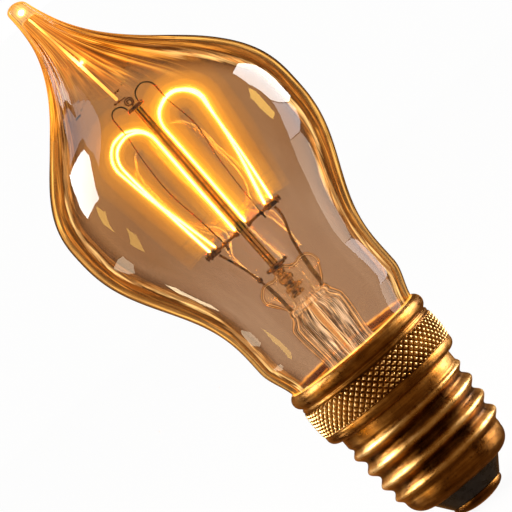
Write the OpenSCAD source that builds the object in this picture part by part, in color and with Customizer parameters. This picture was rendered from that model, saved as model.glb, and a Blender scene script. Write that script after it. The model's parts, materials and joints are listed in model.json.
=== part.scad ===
// Filament lamp with a drawn glass tip, a hairpin filament on a glass stem and a brass screw cap.
// The frame stands on the end of the centre contact, with +Z along the cap's axis towards the tip.
// +X is across the flat plane of the filament loops.

/* [Screw cap] */
// Diameter over the crests at the top of the thread
crest_d = 26.6; // [22:0.1:34]
// How much smaller the crests are at the bottom of the thread, on the diameter
crest_taper = 1.6; // [0:0.1:3]
// Depth of the rolled thread from crest to root
thread_depth = 1.2; // [0.6:0.05:1.6]
// Rise of the thread in one turn
thread_pitch = 3.63; // [3:0.01:4.5]
// Height of the threaded stretch
thread_h = 14.8; // [11:0.1:20]
// Height of the plain land between the thread and the collar
land_h = 2; // [1.5:0.1:4]
// Height of the round shoulder below the thread
shoulder_h = 3.3; // [2.5:0.1:5]
// Diameter of the hole in the shoulder
shoulder_hole_d = 15.6; // [12:0.1:18]
// Thickness of the brass sheet
shell_wall = 0.4; // [0.3:0.05:0.6]

/* [Insulator and contact] */
// Height of the black cone that shows below the shoulder
cone_h = 3; // [2:0.1:5]
// Height of the centre contact
contact_h = 2.4; // [1.6:0.1:4]
// Diameter of the centre contact
contact_d = 10.9; // [8:0.1:12]
// Thickness of the contact's sheet
contact_wall = 0.5; // [0.4:0.1:0.8]
// Height of the insulator inside the shell, above the cone
plug_h = 4; // [3:0.1:6]

/* [Collar] */
// Diameter over the bead at the collar's mouth
bead_d = 30.6; // [29.8:0.1:36]
// Height of the bead
bead_h = 3.3; // [2.5:0.1:5]
// Diameter of the knurled band at its middle
knurl_d = 30; // [29.4:0.1:35]
// Height of the knurled band
knurl_h = 5.6; // [4:0.05:9]
// Height of the plain ring between the band and the bead
ring_h = 0.9; // [0.6:0.1:2]
// Height of the rounded foot below the band
foot_h = 2.2; // [1.5:0.05:4]

/* [Glass] */
// Widest diameter of the blown glass
bulge_d = 51.6; // [44:0.1:64]
// Diameter of the neck just above the collar
neck_d = 32.1; // [30:0.1:36]
// Diameter of the glass inside the collar's mouth
seat_d = 28; // [27:0.1:28.2]
// Height of the widest ring above the collar's mouth
bulge_rise = 44.5; // [36:0.1:60]
// Height of the tip above the widest ring
tip_rise = 42.6; // [34:0.1:60]
// Radius of the drawn tip at its end
tip_r = 1.5; // [1.2:0.1:2.5]
// Thickness of the blown wall
glass_wall = 0.9; // [0.6:0.05:1.2]
// How far the bulge leans to the side of the cap's axis
bulge_lean = 2.25; // [0:0.05:4]
// Sideways lean of the drawn tip for each millimetre of height
tip_lean = 0.18; // [0:0.01:0.3]

/* [Stem] */
// Diameter of the stem tube at the collar's mouth
stem_d = 10.6; // [9:0.1:12]
// Widest diameter of the stem tube
stem_bulge_d = 11.8; // [10:0.1:14]
// Diameter of the stem's waist below the press
waist_d = 8.9; // [8.4:0.1:10]
// Diameter of the flare that is fused to the neck
flare_d = 26; // [25:0.1:26.6]
// Thickness of the stem tube
stem_wall = 0.8; // [0.6:0.05:1]
// Height of the waist above the collar's mouth
waist_rise = 11.6; // [9:0.1:16]
// Height of the press above the waist
press_h = 7.9; // [6:0.1:10]
// Distance of each press lobe from the stem's axis
lobe_x = 4; // [3.6:0.1:5]
// Radius of each press lobe
lobe_r = 2.65; // [2:0.05:3]
// Outer diameter of the exhaust tube
exhaust_d = 2.3; // [1.8:0.1:3]
// Length of the exhaust tube
exhaust_len = 22; // [14:0.5:24]
// Sideways place of the stem's axis
stem_x = -0.75; // [-1:0.05:1]

/* [Filament mount] */
// Length of the centre rod above the ferrule
rod_len = 38.4; // [30:0.1:46]
// Radius of the rod at its foot
rod_foot_r = 0.95; // [0.7:0.01:1]
// Radius of the rod at its top
rod_top_r = 0.72; // [0.5:0.01:0.8]
// Sideways place of the rod's foot
rod_x = -1.15; // [-1.6:0.05:0]
// Lean of the rod and of all it carries, in degrees
mount_lean = 0.8; // [0:0.1:2]
// Height of the crossbars above the ferrule
bar_rise = 9.3; // [6:0.1:12]
// Length of each crossbar from the rod's axis
bar_len = 8.9; // [8.6:0.1:11]
// Radius of the filament
filament_r = 0.26; // [0.2:0.01:0.35]
// Distance between the two strands of a loop
strand_gap = 1.1; // [0.9:0.05:1.6]
// Distance of the loops' inner legs from the rod's axis
inner_leg_x = 1.22; // [1.15:0.01:1.6]
// Width of the wide strand's loop, across the centre line of the wire
loop_w = 9.2; // [7:0.1:11]
// Distance of the tops of the loops below the rod's top
loop_drop = 2.2; // [0.5:0.05:4]
// Radius of the support and guy wires
hook_r = 0.16; // [0.1:0.01:0.2]

/* [Hidden] */

$fn = 64;
BRASS = [0.62, 0.44, 0.18];
COPPER = [0.62, 0.36, 0.16];
DARK_WIRE = [0.2, 0.12, 0.07];
GLASS = [0.95, 0.72, 0.42, 0.35];
GLOW = [1, 0.75, 0.3];

fit = 0.05;        // gap of parts that are pushed or cemented together
wire_fit = 0.03;   // gap round wires sealed in glass
seat_gap = 0.08;   // gap under the ends of wires that rest on a clip

// heights, from the contact up
cone_z = contact_h;
shoulder_z = cone_z + cone_h;
thread_z = shoulder_z + shoulder_h;
land_z = thread_z + thread_h;
collar_z = land_z + land_h;
knurl_z = collar_z + foot_h;
ring_z = knurl_z + knurl_h;
bead_z = ring_z + ring_h;
mouth_z = bead_z + bead_h;
bulge_z = mouth_z + bulge_rise;
tip_z = bulge_z + tip_rise;

// radii that fit each other
land_r = crest_d/2 - thread_depth/2;
foot_bore_r = land_r + fit;
mouth_bore_r = seat_d/2 + 0.35;
sleeve_top_z = knurl_z + 1.9;
step_z = sleeve_top_z + 0.2;
flare_t = 0.8;
seal_z = mouth_z - 3.8;

// a smooth step and a smoother step, both 0 before and 1 after
function clamp01(t) = max(0, min(1, t));
function smooth(t) = let (u = clamp01(t)) u*u*(3 - 2*u);
function smoother(t) = let (u = clamp01(t)) u*u*u*(u*(6*u - 15) + 10);

// points of an arc in the plane, from angle a to angle b
function arc(cx, cy, r, a, b, n = 12) =
    [for (i = [0:n]) let (t = a + (b - a)*i/n) [cx + r*cos(t), cy + r*sin(t)]];

// a closed skin through rings of points, all with the same count; ends are flat caps
module skin(rings, closed = false) {
    n = len(rings[0]);
    m = len(rings);
    points = [for (r = rings) each r];
    sides = [for (i = [0:m - (closed ? 1 : 2)], j = [0:n - 1])
        let (a = i*n + j, b = i*n + (j + 1)%n,
             c = ((i + 1)%m)*n + (j + 1)%n, d = ((i + 1)%m)*n + j)
        each [[a, c, b], [a, d, c]]];
    caps = closed ? [] : [[for (j = [0:n - 1]) j], [for (j = [n - 1:-1:0]) (m - 1)*n + j]];
    polyhedron(points, concat(sides, caps), convexity = 10);
}

// Catmull-Rom point between b and c
function rom(a, b, c, d, t) =
    0.5*((2*b) + (c - a)*t + (2*a - 5*b + 4*c - d)*t*t + (3*b - a - 3*c + d)*t*t*t);
function route(p, steps) =
    let (k = len(p) - 1)
    concat([for (i = [0:k - 1], s = [0:steps - 1])
        rom(p[max(0, i - 1)], p[i], p[i + 1], p[min(k, i + 2)], s/steps)], [p[k]]);
function unit(v) = v/norm(v);

// a round wire along a route that stays near the XZ plane; wire() rounds the route's corners
module wire(p, r, steps = 4, sides = 8, end_r = undef) {
    traced(route(p, steps), r, sides, end_r);
}
module traced(q, r, sides, end_r = undef) {
    k = len(q) - 1;
    tip = is_undef(end_r) ? r : end_r;
    rings = [for (i = [0:k])
        let (t = unit(q[min(k, i + 1)] - q[max(0, i - 1)]),
             u = unit(cross([0, 1, 0], t)), v = cross(t, u), w = r + (tip - r)*i/k)
        [for (j = [0:sides - 1]) let (a = 360*j/sides) q[i] + w*(cos(a)*u + sin(a)*v)]];
    skin(rings);
}

// a straight round bar from a to b
module bar(a, b, r) {
    d = b - a;
    translate(a) rotate([0, acos(d[2]/norm(d)), atan2(d[1], d[0])]) cylinder(r = r, h = norm(d));
}

// part of a ring of round wire in the XZ plane, from angle a to angle b
module bend(x, z, path_r, r, a, b) {
    translate([x, 0, z]) rotate([90, 0, 0]) rotate([0, 0, a])
        rotate_extrude(angle = b - a) translate([path_r, 0]) circle(r);
}

// ---------------------------------------------------------------- blown glass

ENVELOPE_SIDES = 48;
SEAT_H = 8;       // height over which the glass opens from its seat to the neck

function ramp(t) = (t + sqrt(t*t + 6))/2;
function lean_x(z) = -bulge_lean*smooth((z - mouth_z - 2)/(bulge_rise + 6))
    - tip_lean*ramp(z - bulge_z - 17);

// below the bulge a smoother step from neck to bulge, above it a bell curve drawn out to the tip
function glass_r(z) =
    z < mouth_z + SEAT_H ? seat_d/2 + (neck_d - seat_d)/2*smooth((z - mouth_z + 1)/SEAT_H)
    : z < bulge_z ? neck_d/2
        + (bulge_d - neck_d)/2*smoother((z - mouth_z - SEAT_H - 1)/(bulge_rise - SEAT_H - 1))
    : tip_r + (bulge_d/2 - tip_r)*exp(-pow((z - bulge_z)/(0.565*tip_rise), 2.45));

function glass_ring(z, r) =
    [for (j = [0:ENVELOPE_SIDES - 1]) let (a = 360*j/ENVELOPE_SIDES)
        [lean_x(z) + r*cos(a), r*sin(a), z]];

module envelope() {
    rows = 34;
    low = seal_z;
    high = tip_z - tip_r;
    inner_high = tip_z - 4;
    lip_r = flare_d/2 - 1.4;
    lip_lift = 0.25;
    function outer_z(i) = low + (high - low)*i/rows;
    function inner_z(i) = low + 1.5 + (inner_high - low - 1.5)*i/rows;
    function wall(z) = min(glass_wall, glass_r(z)*0.55);
    outer = [for (i = [0:rows]) glass_ring(outer_z(i), glass_r(outer_z(i)))];
    tip = [for (a = [30:30:90])
        glass_ring(high + tip_r*sin(a), max(0.02, glass_r(high)*cos(a)))];
    inner = [for (i = [rows:-1:0]) glass_ring(inner_z(i), glass_r(inner_z(i)) - wall(inner_z(i)))];
    inner_tip = [glass_ring(inner_high + 0.5, 0.02)];
    color(GLASS) skin(concat(outer, tip, inner_tip, inner,
        [glass_ring(low + 0.9, lip_r), glass_ring(low + lip_lift, lip_r)]), closed = true);
}

// the rod of glass drawn down from the tip to the finial
module tip_thread() {
    top = [lean_x(tip_z - 3.7), 0, tip_z - 3.75];
    low = finial_top + [0, 0, seat_gap];
    n = 5;
    color(GLASS) wire([for (i = [0:n]) let (t = i/n)
        (1 - t)*low + t*top + [0.5*t*(1 - t), 0, 0]], 0.34, end_r = 0.18);
}

// ---------------------------------------------------------------- stem

waist_z = mouth_z + waist_rise;
press_top = waist_z + press_h;
ferrule_t = 0.8;
ferrule_z = press_top + 0.35;
hollow_top = waist_z - 0.7;
FLARE_RISE = 4;
BULGE_BELOW = 3.4;     // distance of the stem's widest ring below its waist

function stem_r(z) =
    z < waist_z - BULGE_BELOW
        ? stem_d/2 + (stem_bulge_d - stem_d)/2*smooth((z - mouth_z)/(waist_rise - BULGE_BELOW))
        : waist_d/2 + (stem_bulge_d - waist_d)/2*(1 - smooth((z - waist_z + BULGE_BELOW)/BULGE_BELOW));

function trumpet(inset) = [for (i = [0:8]) let (a = 90*i/8)
    [flare_d/2 - (flare_d/2 - stem_d/2)*sin(a) - inset*sin(a),
     seal_z + FLARE_RISE*(1 - cos(a)) - flare_t*cos(a)*(inset > 0 ? 1 : 0)]];

module stem_tube() {
    rows = 12;
    low = seal_z + FLARE_RISE;
    outside = [for (i = [1:rows]) let (z = low + (waist_z - low)*i/rows) [stem_r(z), z]];
    inside = [for (i = [rows:-1:1]) let (z = low + (hollow_top - low)*i/rows)
        [stem_r(z) - stem_wall, z]];
    under = trumpet(stem_wall);
    rotate_extrude() polygon(concat(
        trumpet(0), outside, [[0, waist_z], [0, hollow_top]], inside,
        [for (i = [8:-1:0]) under[i]]));
}

// a pear standing on its thin end
module lobe(x) {
    mid = press_top - lobe_r - 0.7;
    foot_r = 0.9;
    translate([x, 0, 0]) rotate_extrude() polygon(concat(
        [[0, waist_z - 0.2], [foot_r, waist_z - 0.2]],
        [for (i = [1:7]) let (t = i/8, z = waist_z - 0.2 + (mid - waist_z + 0.2)*t)
            [foot_r + (lobe_r - foot_r)*smooth(t), z]],
        arc(0, mid, lobe_r, 0, 88, 12), [[0, mid + lobe_r]]));
}

CORE_R = 3.1;
module press_core() {
    rotate_extrude() polygon(concat(
        [[0, waist_z - 0.4], [waist_d/2 - 0.1, waist_z - 0.4], [waist_d/2 - 0.25, waist_z + 0.3]],
        arc(0, waist_z + 3.6, CORE_R + 0.25, -38, 38, 8),
        [[2.3, press_top - 0.7], [1.9, press_top], [0, press_top]]));
}

// the rod's end in the glass, ribbed so that the glass holds it
function anchor(gap) = let (z = press_top, g = gap)
    [[0, z - 6.2 - g], [0.7 + g, z - 6.2 - g], [1 + g, z - 5.9 - g], [1 + g, z - 5.5 + g],
     [0.7 + g, z - 5.3], [0.7 + g, z - 5], [1.4 + g, z - 4.8 - g], [1.4 + g, z - 4.1 + g],
     [0.75 + g, z - 3.8], [0.75 + g, z - 3.2], [1.15 + g, z - 3 - g], [1.15 + g, z - 2.4 + g],
     [0.75 + g, z - 2.1], [0.75 + g, z - 1], [1.3 + g, z - 0.8 - g], [1.3 + g, z]];

seal_top = [[-4.8, 0, press_top - 0.9], [3.62, 0, press_top - 1.1]];
seal_low = [[-3.95, 0, hollow_top - 0.6], [2.72, 0, hollow_top - 0.6]];
seal_r = 0.3;
lead_r = 0.27;

module stem_glass() {
    color(GLASS) difference() {
        translate([stem_x, 0, 0]) {
            stem_tube();
            press_core();
            lobe(-lobe_x);
            lobe(lobe_x);
        }
        translate([rod_x, 0, 0]) rotate_extrude()
            polygon(concat(anchor(wire_fit), [[1.3 + wire_fit, press_top + 1], [0, press_top + 1]]));
        for (i = [0, 1]) {
            d = unit(seal_top[i] - seal_low[i]);
            bar(seal_low[i] - d, seal_top[i] + 3*d, seal_r + wire_fit);
        }
    }
}

module exhaust_tube() {
    r = exhaust_d/2;
    bore = r*0.55;
    low = hollow_top - exhaust_len;
    color(GLASS) translate([stem_x, 0, 0]) rotate_extrude() polygon(concat(
        [[bore, hollow_top], [bore, low + 3], [0, low + 2.4], [0, low]],
        arc(0, low + r, r, -80, 0, 8), [[r, hollow_top]]));
}

// ---------------------------------------------------------------- rod and hub

rod_foot = [rod_x, 0, ferrule_z];
rod_top = rod_foot + rod_len*[-sin(mount_lean), 0, cos(mount_lean)];

// the rod's own frame: its foot at the origin, its length along +Z
module on_rod() {
    translate(rod_foot) rotate([0, -mount_lean, 0]) children();
}

module centre_rod() {
    color(COPPER) {
        on_rod() cylinder(r1 = rod_foot_r, r2 = rod_top_r, h = rod_len);
        translate([rod_x, 0, 0]) rotate_extrude() polygon(concat(anchor(0),
            [[0.9*rod_foot_r, press_top], [0.9*rod_foot_r, ferrule_z + 0.3],
             [0, ferrule_z + 0.3]]));
    }
}

module ferrule() {
    r = 2.2;
    knob_r = 0.36;
    bore = rod_foot_r + fit;
    low = press_top + 0.03;
    color(DARK_WIRE) {
        difference() {
            union() {
                translate([rod_x, 0, 0]) rotate_extrude() polygon(concat(
                    [[bore, low], [1.7, low], [r - 0.1, low + 0.15]],
                    arc(r - 0.3, low + 0.5, 0.3, -50, 90, 6), [[bore, low + ferrule_t]]));
                translate([rod_x + r, 0, low + 0.55]) sphere(knob_r);
            }
            translate([rod_x, 0, low - 1]) cylinder(r = bore, h = 3);
        }
    }
}

HUB_R = 1.85;
clip_z = rod_len - 0.35;
clip_top = rod_len + 0.4;
module hub_clip() {
    bore = rod_top_r + 0.02 + fit;
    r = HUB_R - 0.2;
    color(DARK_WIRE) on_rod() rotate_extrude() polygon(concat(
        [[bore, clip_z], [r, clip_z]], arc(r, clip_z + 0.2, 0.2, -90, 70, 6),
        arc(r - 0.08, clip_z + 0.56, 0.19, -60, 90, 6),
        [[0, clip_top], [0, rod_len + fit], [bore, rod_len + fit]]));
}

// a wire rolled up into an eye, as half circles of falling radius
curl_r = 0.15;
curl_z = clip_top + seat_gap + curl_r + 0.8;
module hub_curl() {
    color(DARK_WIRE) on_rod() translate([-0.45, 0, curl_z])
        for (h = [[0, 0.8, -90, 90], [0.11, 0.69, 90, 270], [-0.08, 0.5, -90, 90],
                  [0.12, 0.3, 90, 250]])
            bend(0, h[0], h[1], curl_r, h[2], h[3]);
}

// a short wire over the eye, with a bead near each end
finial_x = [-1.78, -2.5];
finial_z = curl_z + 0.8 + curl_r + 0.12 + seat_gap;
finial_bead_r = 0.3;
module finial() {
    foot = [-0.4, 0, finial_z];
    knob = [finial_x[1], 0, finial_z + 0.2];
    color(DARK_WIRE) on_rod() {
        bar(foot, knob, 0.12);
        translate([finial_x[0], 0, finial_z + 0.13]) sphere(finial_bead_r);
        translate(knob) sphere(0.24);
    }
}
finial_top = [rod_x - (rod_len + 3)*sin(mount_lean) + finial_x[0], 0,
    ferrule_z + (finial_z + 0.13)*cos(mount_lean) + finial_x[0]*sin(mount_lean) + finial_bead_r];

// hooks as half hoops: foot on the clip, end between the strands of a loop
loop_top = rod_len - loop_drop;
hook_low = loop_top - 0.9;
hook_feet = [1.62, 1];
hook_ends = [4.8, 5.1];
module hook(i) {
    span = (hook_ends[i] - hook_feet[i])/2;
    z = clip_top + seat_gap + 0.05;
    bend(hook_feet[i] + span, z, span, hook_r, 0, 180);
    bar([hook_feet[i], 0, clip_top + seat_gap], [hook_feet[i], 0, z], hook_r);
    bar([hook_ends[i], 0, hook_low], [hook_ends[i], 0, z], hook_r);
}
module hook_left() {
    color(DARK_WIRE) on_rod() mirror([1, 0, 0]) hook(0);
}
module hook_right() {
    color(DARK_WIRE) on_rod() hook(1);
}

// ---------------------------------------------------------------- filament

clip_r = 0.62;
foot_z = bar_rise + clip_r + seat_gap;
foot_x = [6, 7.4];           // feet of the wide and the narrow strand
narrow_by = [1.1, 0.3];      // how much narrower the second strand is, left and right

// one hairpin: a straight inner leg, a round top and a straight outer leg, all tangent
module strand(width, top, foot) {
    r = width/2;
    c = [inner_leg_x + r, top - r];
    p = [foot, foot_z];
    d = p - c;
    a = atan2(d[1], d[0]) + acos(r/norm(d));
    flat = concat([[inner_leg_x, foot_z]], arc(c[0], c[1], r, 180, a, 22), [p]);
    traced([for (q = flat) [q[0], 0, q[1]]], filament_r, 10);
}
module strand_at(i, side) {
    color(GLOW) translate([0, (0.5 - i)*strand_gap, 0])
        strand(loop_w - narrow_by[side]*i, loop_top - narrow_by[side]*i*0.7, foot_x[i]);
}
module filament_right_wide() {
    on_rod() strand_at(0, 1);
}
module filament_right_narrow() {
    on_rod() strand_at(1, 1);
}
module filament_left_wide() {
    on_rod() mirror([1, 0, 0]) strand_at(0, 0);
}
module filament_left_narrow() {
    on_rod() mirror([1, 0, 0]) strand_at(1, 0);
}

// thin wires from the hooks' ends down to the middle clips, as offsets along their height
guy_r = 0.11;
mid_x = 4.35;
module guy(side, bows) {
    top = hook_low - seat_gap;
    low = bar_rise + 0.5 + seat_gap;
    n = len(bows);
    x0 = hook_ends[side];
    color(COPPER) wire(concat([[x0, 0, top]],
        [for (i = [0:n - 1]) let (t = (i + 1)/(n + 1))
            [x0 + (mid_x - x0)*t + bows[i], 0, top + (low - top)*t]],
        [[mid_x, 0, low]]), guy_r, steps = 4, sides = 6);
}
module guy_left() {
    on_rod() mirror([1, 0, 0]) guy(0, [0.95, 1.25, 0.55]);
}
module guy_right() {
    on_rod() guy(1, [1.15, 0.5, 0.1]);
}

// ---------------------------------------------------------------- crossbars and clips

bar_r = 0.28;
bar_x = rod_foot_r + 0.05;
module crossbar() {
    color(DARK_WIRE) bar([bar_x, 0, bar_rise], [bar_len, 0, bar_rise], bar_r);
}
// a turned sleeve on the crossbar, from a list of [x, radius]
module sleeve(outline) {
    x0 = outline[0][0];
    x1 = outline[len(outline) - 1][0];
    color(DARK_WIRE) translate([0, 0, bar_rise]) rotate([0, 90, 0]) rotate_extrude()
        polygon(concat([[bar_r + wire_fit, x0]], [for (p = outline) [p[1], p[0]]],
            [[bar_r + wire_fit, x1]]));
}
module inner_clip() {
    sleeve([[bar_x + 0.02, 0.45], [bar_x + 0.12, clip_r], [bar_x + 0.6, clip_r],
        [bar_x + 0.72, 0.48], [bar_x + 0.86, 0.5], [bar_x + 1.05, 0.42]]);
}
module mid_clip() {
    foot_low = bar_rise - 1.25;
    sleeve([[mid_x - 0.35, 0.42], [mid_x - 0.25, 0.5], [mid_x + 0.25, 0.5], [mid_x + 0.35, 0.42]]);
    color(DARK_WIRE) bar([mid_x, 0, foot_low], [mid_x, 0, bar_rise - 0.4], 0.24);
}
module outer_clamp() {
    mid = (foot_x[0] + foot_x[1])/2;
    rib = 0.78;
    sleeve([[mid - 1.15, 0.45], [mid - 1.05, clip_r], [mid + 0.95, clip_r],
        [mid + 1.1, rib], [mid + 1.35, rib], [mid + 1.5, 0.5], [mid + 1.75, 0.5],
        [mid + 1.9, rib - 0.1], [mid + 2.05, rib - 0.1], [mid + 2.12, 0.45]]);
}
module crossbar_left() {
    on_rod() mirror([1, 0, 0]) crossbar();
}
module crossbar_right() {
    on_rod() crossbar();
}
module inner_clip_left() {
    on_rod() mirror([1, 0, 0]) inner_clip();
}
module inner_clip_right() {
    on_rod() inner_clip();
}
module mid_clip_left() {
    on_rod() mirror([1, 0, 0]) mid_clip();
}
module mid_clip_right() {
    on_rod() mid_clip();
}
module outer_clamp_left() {
    on_rod() mirror([1, 0, 0]) outer_clamp();
}
module outer_clamp_right() {
    on_rod() outer_clamp();
}

// ---------------------------------------------------------------- lead wires

function under_clamp(x) = ferrule_z + bar_rise*cos(mount_lean)
    + (x - rod_x)*sin(mount_lean) - clip_r - seat_gap - 0.06;
function lead(i, xs, ts) = let (z0 = under_clamp(xs[0]), z1 = seal_top[i][2] + seat_gap)
    [for (k = [0:len(xs) - 1]) [xs[k], 0, z0 + (z1 - z0)*ts[k]]];
module inner_lead_left() {
    color(DARK_WIRE) wire(lead(0, [-7.75, -7.3, -6.25, -5.35, seal_top[0][0]],
        [0, 0.12, 0.4, 0.7, 1]), lead_r, steps = 5);
}
module inner_lead_right() {
    color(DARK_WIRE) wire(lead(1, [5.6, 5.72, 5.4, 4.35, seal_top[1][0]],
        [0, 0.14, 0.32, 0.62, 1]), lead_r, steps = 5);
}
module lead_bead() {
    at = [seal_top[0][0] - 0.16, 0, press_top + 0.35];
    color(DARK_WIRE) difference() {
        translate(at) sphere(0.62);
        bar(at - [-0.2, 0, 1], at + [-0.2, 0, 1], lead_r + 0.1);
    }
}
module seal_wire_left() {
    color(COPPER) bar(seal_low[0], seal_top[0], seal_r);
}
module seal_wire_right() {
    color(COPPER) bar(seal_low[1], seal_top[1], seal_r);
}

outer_lead_r = 0.22;
insulator_hole_r = 0.7;
module contact_lead() {
    x = seal_low[0][0];
    z = seal_low[0][2] - 0.05;
    color(COPPER) wire([[x, 0, z], [x - 0.1, 0, z - 3], [x + 0.05, 0, mouth_z],
        [x + 0.2, 0, seal_z - 3], [-3.2, 0, sleeve_top_z - 4], [-1.2, 0, thread_z + 8],
        [0, 0, thread_z + 2], [0, 0, shoulder_z], [0, 0, contact_wall + 0.06]],
        outer_lead_r, steps = 3);
}
module shell_lead() {
    x = seal_low[1][0];
    z = seal_low[1][2] - 0.05;
    color(COPPER) wire([[x, 0, z], [x + 0.1, 0, z - 3], [x + 0.05, 0, mouth_z],
        [x + 0.2, 0, seal_z - 2], [x + 1.6, 0, seal_z - 6], [land_r - 3, 0, sleeve_top_z - 3],
        [land_r - shell_wall - 1.4, 0, sleeve_top_z - 2]], outer_lead_r, steps = 3);
}
module shell_solder() {
    color("silver") intersection() {
        translate([land_r - shell_wall - 0.6, 0, sleeve_top_z - 2]) sphere(0.6);
        cylinder(r = land_r - shell_wall - fit, h = mouth_z);
    }
}

// ---------------------------------------------------------------- cap

// half ellipse of the shoulder's section, at an inset from its outer face
function shoulder(inset, n = 6) = let (r0 = shoulder_hole_d/2, r1 = thread_low_r)
    [for (i = [0:n]) let (a = 90 - 90*i/n)
        [r0 + (r1 - r0)*cos(a) - inset*cos(a), thread_z - (shoulder_h - inset)*sin(a)]];
thread_low_r = crest_d/2 - crest_taper/2 - thread_depth;

SHELL_SIDES = 48;
ROWS_A_TURN = 8;
thread_rows = ceil(thread_h/thread_pitch*ROWS_A_TURN);
crest_rise = 14.1;   // height of the last crest on the +X side above the thread's foot
function thread_r(z, a) =
    let (t = (z - thread_z)/thread_h,
         fade = smooth(t*thread_h/2.4)*smooth((1 - t)*thread_h/1.3),
         crest = crest_d/2 - crest_taper/2*(1 - clamp01(t)),
         plain = thread_low_r + (land_r - thread_low_r)*smooth((t - 0.02)*2.2),
         wave = cos(360*(z - thread_z - crest_rise)/thread_pitch - a))
    plain + fade*(crest - thread_depth/2 + thread_depth/2*wave - plain);
function shell_ring(z, inset) = [for (j = [0:SHELL_SIDES - 1]) let (a = 360*j/SHELL_SIDES,
    r = thread_r(z, a) - inset) [r*cos(a), r*sin(a), z]];
function round_ring(r, z) = [for (j = [0:SHELL_SIDES - 1]) let (a = 360*j/SHELL_SIDES)
    [r*cos(a), r*sin(a), z]];

module screw_shell() {
    outer_low = [for (p = shoulder(0)) round_ring(p[0], p[1])];
    inner_low = [for (p = shoulder(shell_wall)) round_ring(p[0], p[1])];
    n = thread_rows;
    outer = [for (i = [1:n]) shell_ring(thread_z + thread_h*i/n, 0)];
    inner = [for (i = [n:-1:1]) shell_ring(thread_z + thread_h*i/n, shell_wall)];
    color(BRASS) skin(concat(outer_low, outer, [round_ring(land_r, sleeve_top_z)],
        [round_ring(land_r - shell_wall, sleeve_top_z)], inner,
        [for (i = [len(inner_low) - 1:-1:0]) inner_low[i]]), closed = true);
}

module insulator() {
    g = shell_wall + fit;
    inside = shoulder(g);
    top = shoulder_z + plug_h;
    top_r = thread_low_r - thread_depth/2 - g;
    color([0.1, 0.09, 0.09]) rotate_extrude() polygon(concat(
        [[insulator_hole_r, cone_z], [contact_d/2 + 0.15, cone_z],
         [shoulder_hole_d/2 - fit, shoulder_z - fit], [shoulder_hole_d/2 - fit, shoulder_z + g]],
        [for (i = [1:4]) inside[i]], [[top_r, inside[4][1] + 0.6], [top_r - 0.4, top],
         [insulator_hole_r, top]]));
}

module centre_contact() {
    r = contact_d/2;
    rim = 0.4;
    w = contact_wall;
    function dome(inset) = [for (i = [0:12]) let (b = 90*i/12)
        [(r - inset)*sin(b), (contact_h - rim) - (contact_h - rim - inset)*cos(b)]];
    inner = dome(w);
    color(BRASS) rotate_extrude() polygon(concat(dome(0), [[r, contact_h - fit/2],
        [r - w, contact_h - fit/2]], [for (i = [12:-1:0]) inner[i]]));
}

module collar() {
    foot_r = knurl_d/2 - 0.3;
    ring_r = knurl_d/2 - 0.45;
    band_edge = 0.2;     // how much less the band's radius is at its edges
    edge_r = foot_bore_r + 0.5;
    bead_r = bead_h/2;
    bead_c = bead_d/2 - bead_r;
    lip_a = acos((mouth_bore_r - bead_c)/bead_r);
    color(BRASS) rotate_extrude() polygon(concat(
        [[foot_bore_r, collar_z], [edge_r, collar_z]],
        [for (i = [1:6]) let (a = 90*i/6)
            [edge_r + (foot_r - edge_r)*sin(a), collar_z + 0.65*foot_h*(1 - cos(a))]],
        [[foot_r, knurl_z - 0.2], [foot_r - 0.25, knurl_z - 0.1]],
        [for (i = [-3:3]) let (t = i/3)
            [knurl_d/2 - band_edge*t*t, knurl_z + knurl_h/2*(1 + t)]],
        [[ring_r - 0.3, ring_z + 0.05]],
        [for (i = [1:5]) let (a = -90 + 180*i/6)
            [ring_r - 0.3 + 0.45*cos(a), ring_z + ring_h/2*(1 + sin(a))]],
        arc(bead_c, bead_z + bead_r, bead_r, -55, lip_a, 16),
        [[mouth_bore_r, step_z], [foot_bore_r, step_z]]));
}

module basing_cement() {
    color([0.75, 0.72, 0.65]) rotate_extrude() polygon([
        [9, step_z + 0.02], [mouth_bore_r - fit, step_z + 0.02],
        [mouth_bore_r - fit, seal_z + 2.2], [seat_d/2 + fit, seal_z + 2.2],
        [seat_d/2 + fit, seal_z - flare_t - fit], [9, seal_z - flare_t - fit]]);
}

envelope();
tip_thread();
stem_glass();
exhaust_tube();
centre_rod();
ferrule();
hub_clip();
hub_curl();
finial();
hook_left();
hook_right();
filament_left_wide();
filament_left_narrow();
filament_right_wide();
filament_right_narrow();
guy_left();
guy_right();
crossbar_left();
crossbar_right();
inner_clip_left();
inner_clip_right();
mid_clip_left();
mid_clip_right();
outer_clamp_left();
outer_clamp_right();
inner_lead_left();
inner_lead_right();
lead_bead();
seal_wire_left();
seal_wire_right();
contact_lead();
shell_lead();
shell_solder();
collar();
basing_cement();
screw_shell();
insulator();
centre_contact();
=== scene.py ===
import json
import math

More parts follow.
